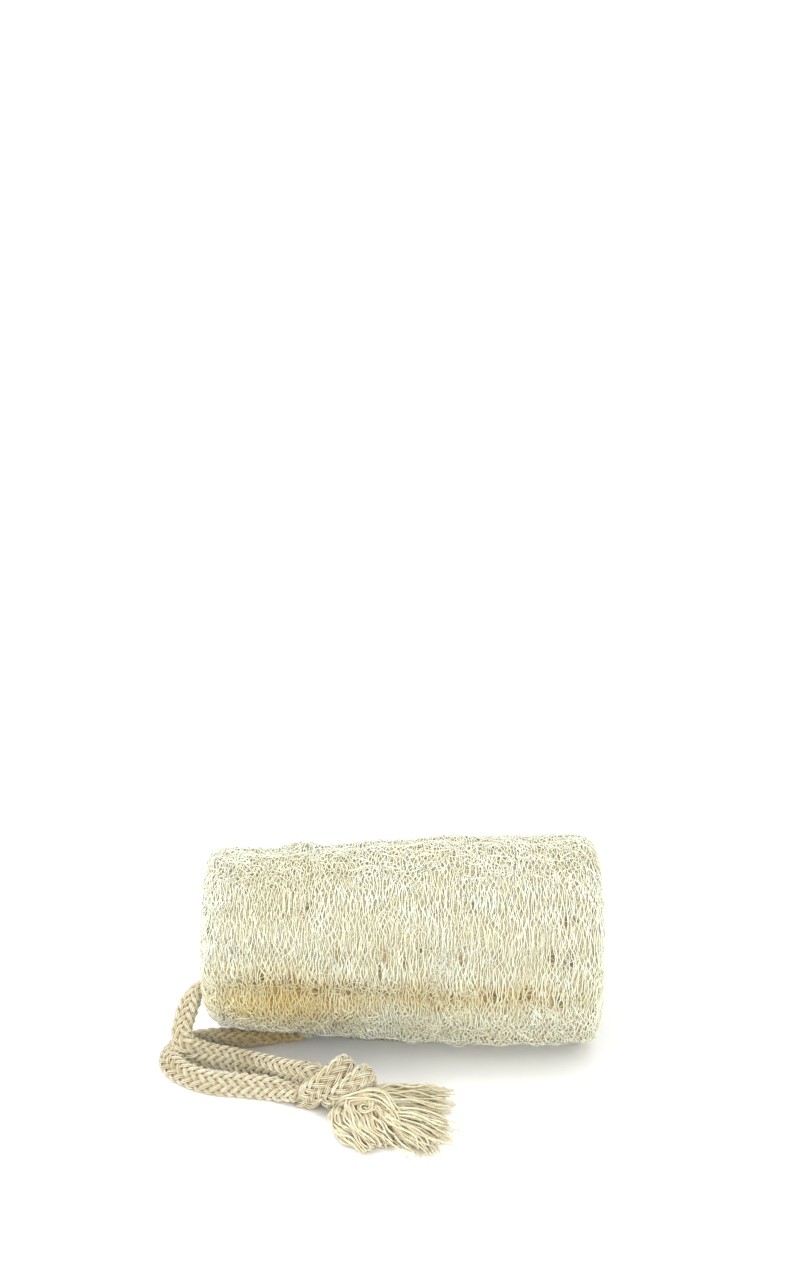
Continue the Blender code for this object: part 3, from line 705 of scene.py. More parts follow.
@made_once
def dense_loofah_middle(name):
    """The dense net deep in the gourd: tan where light has gone through many fibres, with fine strands
    about 2 mm apart drawn in its colour and bump. Towards the bottom of the open holes it turns a deeper
    tan, partly the yellower fibre there and partly painted shade."""
    tone = bpy.context.scene.loofah
    made = fibre_material(
        name, (tone.inner_colour, tone.middle_colour, tone.middle_colour), streak=1.3 * MM, patch=15 * MM,
        roughness=0.8, sheen=0.0, bump=0.9, grain=0.6 * MM, stain_and_shade_tints=STRAW_PATCHES, soak=1.0)
    tree = made.node_tree
    shader = tree.nodes["Principled BSDF"]
    place = add(tree, "ShaderNodeTexCoord").outputs["Object"]
    net = add(tree, "ShaderNodeTexVoronoi", {"Vector": place, "Scale": 1 / (2.0 * MM)},
              feature="DISTANCE_TO_EDGE")
    between = add(tree, "ShaderNodeMapRange", {
        "Value": net.outputs["Distance"], "From Min": 0.05, "From Max": 0.24, "To Max": 0.4})
    darkened = add(tree, "ShaderNodeMix", {
        MIX_SHARE: between.outputs["Result"], MIX_FIRST: shader.inputs["Base Color"].links[0].from_socket,
        MIX_SECOND: (*tone.shade_colour, 1)}, data_type="RGBA")
    tree.links.new(darkened.outputs[MIX_RESULT], shader.inputs["Base Color"])
    relief = add(tree, "ShaderNodeBump", {
        "Height": between.outputs["Result"], "Strength": 0.8, "Distance": 0.5 * MM,
        "Normal": shader.inputs["Normal"].links[0].from_socket}, invert=True)
    tree.links.new(relief.outputs["Normal"], shader.inputs["Normal"])
    # Painted shade, over the yellower deep fibre, blended in as the holes open
    blend_in(made, "openness", tone.hole_colour)
    return made


@made_once
def braided_undyed_cotton(name):
    """Undyed cotton, spun and braided: matt, a soft sheen along the yarns, with painted shade between them
    and painted warm shade where the cord lies under the sponge.
    """
    tone = bpy.context.scene.loofah_cord
    made = fibre_material(
        name, (tone.cotton_colour, tone.seed_colour, tone.seed_colour), streak=1.6 * MM, patch=14 * MM,
        # The tint under the sponge is painted warm shade
        roughness=0.8, sheen=0.25, bump=0.35, grain=0.22 * MM, stain_and_shade_tints=SHADE_TINT_UNDER_SPONGE)
    # Painted shade where strands dive under others, at their edges and on the core
    blend_in(made, "painted_shade", tone.buried_colour)
    return made


@made_once
def frayed_undyed_cotton(name):
    """Undyed cotton yarn with its twist let out: matt, paler and softer than in the braid."""
    tone = bpy.context.scene.loofah_cord
    return fibre_material(
        name, (tone.loose_colour, tone.seed_colour, tone.seed_colour), streak=2.0 * MM, patch=9 * MM,
        roughness=0.85, sheen=0.35, bump=0.5, grain=0.35 * MM)


@made_once
def matt_studio_paper(name):
    """Uncoated white paper, rolled out flat: no gloss, so it shows soft shadows and nothing else."""
    tone = bpy.context.scene.loofah_studio
    made, _ = matt_material(name, {
        "Base Color": (*tone.paper_colour, 1), "Roughness": 0.9, "Specular IOR Level": 0.1})
    return made


def body_radius(x):
    share = smooth((x - TAPER_START_X) / (TAPER_END_X - TAPER_START_X))
    return CORD_END_RADIUS + (FAR_END_RADIUS - CORD_END_RADIUS) * share


def worn_back(x, angle):
    """How far the skin lies inside the plain round form there; it is less than nothing on the bump."""
    hollow = HOLLOW_DEPTH * smooth((HOLLOW_TO_X - x) / HOLLOW_REACH)
    hollow = hollow * np.exp(-((degrees_between(angle, HOLLOW_ANGLE) / HOLLOW_HALF_ANGLE) ** 2))
    edge = smooth((WORN_FROM_X - x) / WORN_REACH)
    edge = edge * np.exp(-((degrees_between(angle, WORN_ANGLE) / WORN_HALF_ANGLE) ** 2))
    bump = np.exp(-(((x - BUMP_X) / BUMP_HALF_LENGTH) ** 2))
    bump = bump * np.exp(-((degrees_between(angle, BUMP_ANGLE) / BUMP_HALF_ANGLE) ** 2))
    return WORN_DEPTH * edge + hollow - BUMP_HEIGHT * bump


def valley_share(angle):
    """1 in the middle of a lengthwise valley, falling to 0 beside it."""
    nearest = degrees_between(angle[..., None], VALLEY_ANGLES).min(-1)
    return np.exp(-((nearest / VALLEY_WIDTH) ** 2))


def rest_share(x, angle):
    """1 in the middle of the flat that the sponge rests on, falling to 0 round it."""
    ends = smooth((x - REST_FROM_X) / REST_EASE[0]) * smooth((REST_TO_X - x) / REST_EASE[1])
    aside = body_radius(x) * np.radians(degrees_between(angle, 180))
    return ends * np.exp(-((aside / REST_HALF_WIDTH) ** 4))


def unrolled(along, angle):
    """The same place on a plain cylinder, where unevenness is read so that it has no seam."""
    along, turn = np.broadcast_arrays(along, np.radians(angle))
    return np.stack([along, -MEAN_RADIUS * np.sin(turn), MEAN_RADIUS * np.cos(turn)], -1)


def on_skin(along, angle, depth):
    """Places in the sponge's skin. along runs from its middle over the side and round its rounded ends
    towards their middle, angle is 0 at the top and 90 at the front, and depth is into the sponge."""
    along, angle, depth = np.broadcast_arrays(along, angle, depth)
    reach = np.abs(along)
    bend = np.clip(reach - STRAIGHT_HALF, 0, ARC_LENGTH) / END_ROUNDING
    over = np.maximum(reach - STRAIGHT_HALF - ARC_LENGTH, 0)
    x = np.sign(along) * (np.minimum(reach, STRAIGHT_HALF) + (END_ROUNDING - depth) * np.sin(bend))
    uneven = UNEVEN_HEIGHT * waves(UNEVEN_SEED, UNEVEN_SIZE)(unrolled(along, angle)) * np.cos(bend)
    radius = body_radius(x) - worn_back(x, angle) - VALLEY_DEPTH * valley_share(angle) + uneven
    radius = radius - END_ROUNDING + (END_ROUNDING - depth) * np.cos(bend) - over
    turn = np.radians(angle)
    height = radius * np.cos(turn) - REST_SAG * rest_share(x, angle)
    flattened = FLATTENED_SHARE * np.maximum(depth - FLATTENED_FROM, 0)
    height = np.maximum(height, LEAST_HEIGHT + flattened - AXIS_HEIGHT)
    return np.stack([x, -radius * np.sin(turn), AXIS_HEIGHT + height], -1)


def skin_outward(places):
    """Roughly the way out of the sponge at each place, bent towards X past the rounded ends."""
    way = places - np.array((0, 0, AXIS_HEIGHT))
    past = np.maximum(np.abs(way[..., 0]) - STRAIGHT_HALF, 0)
    way[..., 0] = np.sign(way[..., 0]) * past * OUTWARD_BEND
    return unit(way)


def all_holes():
    """The holes in front, and like ones scattered along the valleys that the photo doesn't show."""
    holes = list(FRONT_HOLES)
    draw = np.random.default_rng(HOLE_SEED)
    for row in HIDDEN_HOLE_ROWS:
        for along in np.linspace(-HOLE_ROW_REACH, HOLE_ROW_REACH, HOLES_IN_A_ROW):
            if draw.random() < HOLE_CHANCE:
                holes.append((
                    along + draw.uniform(-HOLE_STRAY_ALONG, HOLE_STRAY_ALONG),
                    row + draw.uniform(-HOLE_STRAY_ANGLE, HOLE_STRAY_ANGLE),
                    draw.uniform(*HOLE_HALF_WIDTHS), draw.uniform(*HOLE_HALF_LENGTHS)))
    return [(along * MM, angle, wide * MM, long * MM) for along, angle, wide, long in holes]


def up_from_hole(angle, hole_angle, half_length):
    """How far round the skin from a hole, in the hole's own half lengths."""
    return np.radians((angle - hole_angle + 180) % 360 - 180) * MEAN_RADIUS / half_length


def beside_holes(along, angle, start):
    """Moves fibres sideways out of the holes; start is where each fibre lies before it waves."""
    for place, hole_angle, half_width, half_length in all_holes():
        up = up_from_hole(angle, hole_angle, half_length)
        off = np.abs(along - place) / half_width
        rim = np.sqrt(np.clip(HOLE_RIM - up**2, 0, None))
        side = np.where(start < place, -1, 1)
        aside = place + side * half_width * (rim + RIM_LOOSENESS * off)
        along = np.where((off < rim * RIM_REACH) & (rim > 0), aside, along)
    return along


def hole_depth(along, angle):
    """How open the net is there: 1 in the middle of a hole, 0 away from it."""
    deepest = 0.0
    for place, hole_angle, half_width, half_length in all_holes():
        up = up_from_hole(angle, hole_angle, half_length)
        off = (along - place) / half_width
        deepest = np.maximum(deepest, np.exp(-(off**2 + up**2) * HOLE_SLOPE))
    return deepest


def cord_points(first, last, step):
    """Evenly spaced points of the cord's curve between two of the route's points, and its wide ways."""
    at, read = spline_through(CORD_ROUTE)
    lengths = np.linspace(at[first], at[last], round((at[last] - at[first]) / step) + 1)
    path = read(lengths)
    stations = [at[index] for index, _ in WIDE_WAYS]
    ways = np.array([way for _, way in WIDE_WAYS], float)
    wide = np.stack([np.interp(lengths, stations, ways[:, k]) for k in range(3)], -1)
    return path, wide


def clear_of_cord(places):
    """Moves whatever lies in the cord's way out to the cord's own surface."""
    path, _ = cord_points(*CORD_ROOM_POINTS, CORD_ROOM_STEP)
    flat = places.reshape(-1, 3).copy()
    low, high = np.array(CORD_ROOM_BOX).T
    near = np.flatnonzero(((flat > low) & (flat < high)).all(1))
    away = flat[near, None, :] - path
    distance = np.linalg.norm(away, axis=-1)
    closest = distance.argmin(1)
    rows = np.arange(len(near))
    hit = distance[rows, closest] < CORD_ROOM
    moved = path[closest] + unit(away[rows, closest]) * CORD_ROOM
    flat[near[hit]] = moved[hit]
    flat[:, 2] = np.maximum(flat[:, 2], LEAST_HEIGHT)
    return flat.reshape(places.shape)


def channel_centres():
    turns = np.radians(np.array(CHANNEL_ANGLES, float))
    return np.stack([-CHANNEL_OFFSET * np.sin(turns), AXIS_HEIGHT + CHANNEL_OFFSET * np.cos(turns)], -1)


def channel_radius(number, turn):
    """The radius of a seed channel, which isn't quite round, at an angle from +Y."""
    return CHANNEL_RADIUS + sum(
        height * np.sin(times * turn + shift * number) for times, height, shift in CHANNEL_LOBES)


def channel_cylinder(x, turn):
    """Places on a plain channel, where unevenness is read."""
    x, turn = np.broadcast_arrays(x, turn)
    return np.stack([x, CHANNEL_RADIUS * np.cos(turn), CHANNEL_RADIUS * np.sin(turn)], -1)


def channel_wall(number, x, turn, room):
    """Places that lie room past a seed channel's wall, and the ways to its middle from there."""
    x, turn, radius = np.broadcast_arrays(x, turn, channel_radius(number, turn) + room)
    y, z = channel_centres()[number]
    ways = np.stack([0 * turn, -np.cos(turn), -np.sin(turn)], -1)
    return np.stack([x, y + radius * np.cos(turn), z + radius * np.sin(turn)], -1), ways


def out_of_channels(paths, room):
    """Moves fibres out of the seed channels by room past their walls, and leaves out those across them."""
    paths = paths.copy()
    kept = np.ones(len(paths), bool)
    for number, centre in enumerate(channel_centres()):
        away = paths[..., 1:] - centre
        distance = np.linalg.norm(away, axis=-1)
        wall = channel_radius(number, np.arctan2(away[..., 1], away[..., 0])) + room
        middles = np.linalg.norm((away[:, 1:] + away[:, :-1]) / 2, axis=-1)
        kept &= np.minimum(distance.min(1), middles.min(1)) > CROSSING_SHARE * CHANNEL_RADIUS
        moved = centre + away * (wall / np.maximum(distance, 1e-9))[..., None]
        paths[..., 1:] = np.where((distance < wall)[..., None], moved, paths[..., 1:])
    return paths[kept], kept


def round_strands(count, cell_length, points, depth, wander, seed):
    """Strands that run round the sponge and meet their neighbours, first on one side, then the other."""
    draw = np.random.default_rng(seed)
    drifts, meets, wanders, dips = (waves(seed + i, size) for i, size in enumerate(NET_SIZES))
    spacing = 2 * NET_REACH / (count - 1)
    start = (np.arange(count) - (count - 1) / 2)[:, None] * spacing
    angle = np.linspace(180, 540, points)
    place = unrolled(start, angle)
    turns = round(2 * math.pi * MEAN_RADIUS / (WAVE_PER_CELL * cell_length))
    phase = np.radians(angle) * turns + WAVE_DRIFT * drifts(place)
    phase += math.pi * np.arange(count)[:, None] + draw.uniform(-WAVE_START, WAVE_START, (count, 1))
    meet = spacing * (MEET_SHARE + MEET_UNEVENNESS * meets(place))
    along = start + meet * np.sin(phase) + wander * wanders(place)
    along = beside_holes(along, angle, start)
    deep = depth + NET_UNEVENNESS * dips(unrolled(along * 3, angle))
    return along, angle, deep


def skin_fibres(along, angle, deep, radius):
    """Fibres in the skin, moved clear of the cord, each with an edge facing outward."""
    paths = clear_of_cord(on_skin(along, angle, deep))
    return tubes(paths, radius, FIBRE_SIDES, skin_outward(paths))


def make_net(settings):
    """The outer net: strands round the sponge with slim cells between them."""
    count = round(2 * NET_REACH / settings.strand_spacing) + 1
    along, angle, deep = round_strands(count, settings.cell_length, **OUTER_NET)
    uneven = STRAND_UNEVENNESS * waves(STRAND_SEED, STRAND_SIZE)(unrolled(along, angle))
    fibres = skin_fibres(along, angle, deep, settings.strand_radius * (1 + uneven))
    add_piece("loofah_outer_net", [fibres], sun_bleached_loofah_fibre())


def make_under_net(settings):
    """The next net down: coarser strands round the sponge, over strands along it."""
    along, angle, deep = round_strands(UNDER_COUNT, settings.cell_length * UNDER_CELLS, **UNDER_NET)
    deep = deep + UNDER_HOLE_DEPTH * hole_depth(along, angle)
    parts = [skin_fibres(along, angle, deep, UNDER_RADIUS)]
    along = np.linspace(-LONG_STRAND_REACH, LONG_STRAND_REACH, LONG_STRAND_POINTS)
    start = (np.arange(LONG_STRAND_COUNT) * 360 / LONG_STRAND_COUNT)[:, None]
    place = unrolled(along, start)
    sways, dips = (waves(LONG_STRAND_SEED + i, size) for i, size in enumerate(LONG_STRAND_SIZES))
    angle = start + LONG_STRAND_SWAY * sways(place)
    deep = LONG_STRAND_DEPTH + NET_UNEVENNESS * dips(place)
    deep = deep + LONG_STRAND_HOLE_DEPTH * hole_depth(along, angle)
    parts.append(skin_fibres(along, angle, deep, UNDER_RADIUS))
    add_piece("loofah_under_net", parts, shaded_loofah_fibre())


def lie_of_fibres(angle, draw):
    """How far from the way round each short fibre points: any way on the top, mostly round in front."""
    spread = FELT_SPREAD
    for middle, half, rim, more in LOOSE_PARTS:
        spread = spread + more * smooth((half - degrees_between(angle, middle)) / rim)
    return np.radians(draw.normal(size=angle.shape) * spread)


def lay_down(middle, around, lie, ahead, aside, reach):
    """Where fibres run: along the sponge, no farther than reach, and the angle round it. Each goes ahead
    and aside from its middle, turned by its lie."""
    along = np.clip(middle + ahead * np.sin(lie) + aside * np.cos(lie), -reach, reach)
    return along, around + np.degrees((ahead * np.cos(lie) - aside * np.sin(lie)) / MEAN_RADIUS)


def make_felt(settings):
    """Short fibres that lie over the net and dive into it at both ends: more on the top, fewer on the
    underside."""
    draw = np.random.default_rng(FELT_SEED)
    column = (settings.felt_count, 1)
    middle = draw.uniform(-FELT_REACH, FELT_REACH, column)
    around = draw.uniform(0, 360, column)
    below = degrees_between(around, 180) < UNDERSIDE_HALF_ANGLE
    moved = below & (draw.random(column) < UNDERSIDE_THINNING)
    around = np.where(moved, draw.uniform(*CROWN_ANGLES, column), around)
    lie = lie_of_fibres(around, draw)
    half = draw.uniform(*FELT_HALF_LENGTHS, column) * MM
    bend = draw.normal(size=column) * FELT_BEND
    t = np.linspace(-1, 1, FELT_POINTS)
    along, angle = lay_down(
        middle, around, lie, half * t, half * bend * (t**2 - BOW_MIDDLE), FELT_REACH)
    along = beside_holes(along, angle, middle)
    deep = draw.uniform(*FELT_DEPTHS, column) * MM + FELT_DIVE * np.abs(t) ** 3
    radius = tapered(settings.felt_radius, FELT_POINTS) * draw.uniform(*FELT_THICKNESSES, column)
    fibres = skin_fibres(along, angle, deep, radius)
    add_piece("loofah_short_fibres", [fibres], sun_bleached_loofah_fibre())


def make_hairs(settings):
    """Long pale hairs that curl a little way off the net, one wisp of them in front and a fringe that
    hangs over the row of holes."""
    draw = np.random.default_rng(HAIR_SEED)
    column = (settings.hair_count + WISP_COUNT + FRINGE_COUNT, 1)
    t = np.linspace(-1, 1, HAIR_POINTS)
    middle = draw.uniform(-STRAIGHT_HALF, STRAIGHT_HALF, column)
    around = draw.uniform(-180, 180, column)
    lie = draw.uniform(-math.pi, math.pi, column)
    half = draw.uniform(*HAIR_HALF_LENGTHS, column) * MM
    wisp, some = slice(WISP_COUNT), (WISP_COUNT, 1)
    middle[wisp] = WISP_X + draw.normal(size=some) * WISP_SPREAD * MM
    around[wisp] = WISP_ANGLE + (middle[wisp] - WISP_X) / MM * WISP_SLANT
    around[wisp] += draw.normal(size=some) * WISP_ANGLE_SPREAD
    lie[wisp] = WISP_LIE + draw.normal(size=some) * WISP_LIE_SPREAD
    fringe, many = slice(WISP_COUNT, WISP_COUNT + FRINGE_COUNT), (FRINGE_COUNT, 1)
    middle[fringe] = draw.uniform(*FRINGE_ALONG, many) * MM
    around[fringe] = FRINGE_ANGLE + draw.normal(size=many) * FRINGE_ANGLE_SPREAD
    lie[fringe] = draw.normal(size=many) * FRINGE_LIE_SPREAD
    half[fringe] = draw.uniform(*FRINGE_HALF_LENGTHS, many) * MM
    curl = draw.normal(size=column) * HAIR_CURL
    aside = half * (curl * (t**2 - BOW_MIDDLE) + HAIR_TWIST * curl * np.sin(3 * t))
    along, angle = lay_down(middle, around, lie, half * t, aside, HAIR_REACH)
    lift = draw.uniform(*HAIR_HEIGHTS, column) * MM
    deep = HAIR_ROOT - (lift + HAIR_ROOT) * (1 - t**2)
    deep = np.where(degrees_between(angle, 180) < HAIR_REST_HALF_ANGLE, HAIR_REST_DEPTH, deep)
    thin = np.full(column, HAIR_RADIUS)
    thin[fringe] = FRINGE_RADIUS
    fibres = skin_fibres(along, angle, deep, tapered(thin, HAIR_POINTS))
    add_piece("loofah_stray_hairs", [fibres], sun_bleached_loofah_fibre())


def end_face_x(side, y, z, depth):
    """X of the end's skin at a place across it, or depth under it."""
    radius = np.hypot(y, z - AXIS_HEIGHT)
    angle = np.degrees(np.arctan2(-y, z - AXIS_HEIGHT))
    edge = side * SPONGE_LENGTH / 2
    rim = body_radius(edge) - worn_back(edge, angle) - END_ROUNDING
    past = np.clip((radius - rim) / END_ROUNDING, 0, END_STEEPEST)
    fall = END_ROUNDING * (1 - np.sqrt(1 - past**2))
    return side * (SPONGE_LENGTH / 2 - fall - depth)


def make_end_nets():
    """The cut ends: a tangle of fibres between the mouths, and fibres bent round each mouth."""
    parts = []
    column = (END_COUNT, 1)
    t = np.linspace(-1, 1, END_POINTS)
    for side in (-1, 1):
        draw = np.random.default_rng(END_SEED + side)
        outward = np.array((side, 0, 0), float)
        limit = body_radius(side * SPONGE_LENGTH / 2) - END_RIM
        reach = limit * np.sqrt(draw.uniform(0, 1, column))
        where = draw.uniform(0, 2 * math.pi, column)
        lie = where + math.pi / 2 + draw.normal(size=column) * END_LIE_SPREAD
        half = draw.uniform(*END_HALF_LENGTHS, column) * MM
        bend = draw.normal(size=column) * END_BEND
        ahead, aside = half * t, half * bend * (t**2 - BOW_MIDDLE)
        y = reach * np.cos(where) + ahead * np.cos(lie) - aside * np.sin(lie)
        z = reach * np.sin(where) + ahead * np.sin(lie) + aside * np.cos(lie)
        beyond = np.maximum(np.hypot(y, z) / limit, 1)
        y, z = y / beyond, z / beyond + AXIS_HEIGHT
        depth = draw.uniform(*END_DEPTHS, column) * MM + END_DIVE * np.abs(t) ** 3
        places = np.stack([end_face_x(side, y, z, depth), y, z], -1)
        places, kept = out_of_channels(places, draw.uniform(*END_ROOMS, column) * MM)
        radius = tapered(END_RADIUS, END_POINTS) * draw.uniform(*END_THICKNESSES, column)
        parts.append(tubes(clear_of_cord(places), radius[kept], FIBRE_SIDES, outward))
        bends = clear_of_cord(mouth_bends(side, draw))
        parts.append(tubes(bends, tapered(BEND_RADIUS, BEND_POINTS), FIBRE_SIDES, outward))
    add_piece("loofah_end_nets", parts, sun_bleached_loofah_fibre())


def mouth_bends(side, draw):
    """Paths that bend part of the way round the mouths of the three seed channels at one end."""
    column = (BEND_COUNT, 1)
    sways, dips = (waves(seed, size) for seed, size in zip(BEND_SEEDS, BEND_SIZES))
    least, more = BEND_ROOMS
    bends = []
    for number in CHANNEL_NUMBERS:
        span = draw.uniform(*BEND_SPANS, column)
        turn = draw.uniform(0, 2 * math.pi, column) + span * np.linspace(0, 1, BEND_POINTS)
        step = draw.uniform(0, 1, column) ** BEND_CROWDING
        spot = channel_cylinder(np.arange(BEND_COUNT)[:, None] * BEND_APART, turn)
        room = (least + more * step) * MM + BEND_SWAY * sways(spot)
        bend, _ = channel_wall(number, 0.0, turn, room)
        depth = draw.uniform(*BEND_DEPTHS, column) * MM * (1 - BEND_RISE * step) + BEND_DIP * dips(spot)
        bend[..., 0] = end_face_x(side, bend[..., 1], bend[..., 2], depth)
        bends.append(bend)
    return np.concatenate(bends)


def make_channel_linings():
    """The walls of the seed channels: fibres along them and, nearer the mouths, across them."""
    parts = []
    column = (CROSS_COUNT, 1)
    t = np.linspace(-1, 1, CROSS_POINTS)
    for number in CHANNEL_NUMBERS:
        cross_seed, sway_seed, room_seed = (seed + number for seed in LINING_SEEDS)
        x = np.linspace(-LINING_REACH, LINING_REACH, LINING_POINTS)
        turn = even_turns(LINING_COUNT)[:, None]
        cylinder = channel_cylinder(x, turn)
        turn = turn + LINING_SWAY * waves(sway_seed, LINING_SIZES[0])(cylinder)
        room = LINING_ROOM + LINING_UNEVENNESS * waves(room_seed, LINING_SIZES[1])(cylinder)
        wall, inward = channel_wall(number, x, turn, room)
        parts.append(tubes(clear_of_cord(wall), LINING_RADIUS, FIBRE_SIDES, inward))
        draw = np.random.default_rng(cross_seed)
        x = LINING_REACH * (1 - draw.uniform(0, 1, column) ** CROSS_CROWDING)
        x = x * np.where(draw.random(column) < 0.5, -1, 1)
        slant = draw.normal(size=column) * CROSS_SLANT * MM
        x = np.clip(x + slant * t, -LINING_REACH, LINING_REACH)
        turn = draw.uniform(0, 2 * math.pi, column) + t * draw.uniform(*CROSS_SPANS, column)
        wall, inward = channel_wall(number, x, turn, draw.uniform(*CROSS_ROOMS, column) * MM)
        parts.append(tubes(clear_of_cord(wall), tapered(CROSS_RADIUS, CROSS_POINTS), FIBRE_SIDES, inward))
    add_piece("loofah_channel_linings", parts, shaded_loofah_fibre())


def make_middle():
    """The dense net under the fibres, with the three seed channels cut through it."""
    reach = STRAIGHT_HALF + ARC_LENGTH
    centre_reach = reach + MIDDLE_END_SHARE * (CORD_END_RADIUS - END_ROUNDING)
    end_rings = np.linspace(reach, centre_reach, MIDDLE_END_RINGS)[1:]
    along = np.concatenate([-end_rings[::-1], np.linspace(-reach, reach, MIDDLE_RINGS), end_rings])[:, None]
    angle = np.linspace(0, 360, MIDDLE_SIDES, endpoint=False)
    openness = hole_depth(along, angle)
    uneven = waves(MIDDLE_SEED, MIDDLE_SIZE, MIDDLE_WAVES)(unrolled(along, angle))
    deep = MIDDLE_DEPTH + MIDDLE_UNEVENNESS * uneven
    rings = clear_of_cord(on_skin(along, angle, deep + MIDDLE_HOLE_DEPTH * openness))
    # The openness is also the share of painted shade at the bottom of the holes
    parts = [(*sleeve(rings), openness.ravel())]
    middle = add_piece("loofah_middle", parts, dense_loofah_middle(), "openness")
    cutters = []
    x = np.linspace(-CUTTER_REACH, CUTTER_REACH, CUTTER_RINGS)[:, None]
    for number in CHANNEL_NUMBERS:
        wall, _ = channel_wall(number, x, even_turns(CUTTER_SIDES), CUTTER_ROOM)
        name = f"channel_cutter_{number}"
        mesh = mesh_of(name, [sleeve(wall)])
        mesh.shade_flat()
        cutter = bpy.data.objects.new(name, mesh)
        bpy.context.scene.collection.objects.link(cutter)
        cut = middle.modifiers.new(name, "BOOLEAN")
        cut.operation, cut.solver, cut.object = "DIFFERENCE", "MANIFOLD", cutter
        cutters.append(cutter)
    bpy.context.view_layer.update()
    graph = bpy.context.evaluated_depsgraph_get()
    cut_mesh = bpy.data.meshes.new_from_object(middle.evaluated_get(graph), depsgraph=graph)
    middle.modifiers.clear()
    middle.data = cut_mesh
    for cutter in cutters:
        bpy.data.objects.remove(cutter)
    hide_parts("loofah_sponge")


def ellipse_table(half_wide, half_thick):
    """Shares of the way round an ellipse's rim and the angles that they are reached at."""
    angles = np.linspace(0, 2 * math.pi, 361)
    run = run_along(np.stack([half_wide * np.cos(angles), half_thick * np.sin(angles)], -1))
    return run / run[-1], angles


def braid(path, wide, half_wide, half_thick, settings, begin=0.0):
    """A flattened tubular braid along the path: each strand passes over two others and under two. begin
    is the length of cord before the path, so that the braid runs on from one stretch to the next."""
    yarns, yarn_radius = settings.yarns, settings.yarn_radius
    ahead = unit(np.gradient(path, axis=0))
    wide = across(wide, ahead)
    thick = np.cross(ahead, wide)
    run = begin + run_along(path)
    inner_wide, inner_thick = (size - BRAID_LIFT - yarn_radius for size in (half_wide, half_thick))
    shares, angles = ellipse_table(inner_wide, inner_thick)

    def outward(at, by_wide, by_thick):
        """Ways out of the cord's middle line at angles round it."""
        return by_wide * np.cos(at)[..., None] * wide + by_thick * np.sin(at)[..., None] * thick

    half = settings.strands // 2
    paths, outs, painted_shade = [], [], []
    for direction in (1, -1):
        for strand in range(half):
            share = strand / half + direction * run / settings.lay
            column = settings.strands * share
            over = direction * np.clip(BRAID_CROSSING * np.cos(math.pi / 2 * (column - 0.5)), -1, 1)
            for yarn in range(yarns):
                off_middle = abs(2 * yarn - yarns + 1)
                aside = (yarn - (yarns - 1) / 2) / yarns / half * YARN_ASIDE
                at = np.interp((share + aside) % 1, shares, angles)
                out = unit(outward(at, 1 / inner_wide, 1 / inner_thick))
                lift = BRAID_LIFT * over + YARN_CROWN * (1 - off_middle)
                place = path + outward(at, inner_wide, inner_thick) + out * lift[:, None]
                place[:, 2] = np.maximum(place[:, 2], yarn_radius + FLOOR_GAP)
                paths.append(place)
                outs.append(out)
                # Painted shade: darker where the yarn dives under other strands and at the strand's edges
                dark = SHADE_UNDER_STRANDS * (1 - over) + SHADE_AT_STRAND_EDGE * off_middle / max(yarns - 1, 1)
                painted_shade.append(np.repeat(dark, YARN_SIDES))
    strands = tubes(np.array(paths), yarn_radius, YARN_SIDES, np.array(outs))
    ring = outward(even_turns(CORE_SIDES)[:, None], CORE_SHARE * inner_wide, CORE_SHARE * inner_thick)
    core = path[:, None] + ring.swapaxes(0, 1)
    core[..., 2] = np.maximum(core[..., 2], CORE_HEIGHT)
    # The core carries the full painted shade
    return [(*strands, np.concatenate(painted_shade)), (*sleeve(core), np.ones(core[..., 0].size))]


def make_cord(settings):
    """The three stretches of the cord: to the sponge's mouth, inside it, and from its underside."""
    stretches = (
        ("cord_front_braid", 0, MOUTH_POINT, "cord_front_strand"),
        ("cord_inside_braid", MOUTH_POINT, UNDERSIDE_POINT, "cord_inner_bight"),
        ("cord_under_braid", UNDERSIDE_POINT, LAST_POINT, "cord_under_strand"),
    )
    begin = 0.0
    for name, first, end, node in stretches:
        path, wide = cord_points(first, end, BRAID_STEP)
        parts = braid(path, wide, settings.half_width, settings.half_thickness, settings, begin)
        begin += run_along(path)[-1]
        piece = add_piece(name, parts, braided_undyed_cotton(), "painted_shade")
        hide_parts(node)


def knot_directions():
    """The knot's axis, the way up across it and the way aside."""
    axis = unit(KNOT_AXIS)
    side = unit(np.cross(axis, (0, 0, 1)))
    return axis, np.cross(side, axis), side


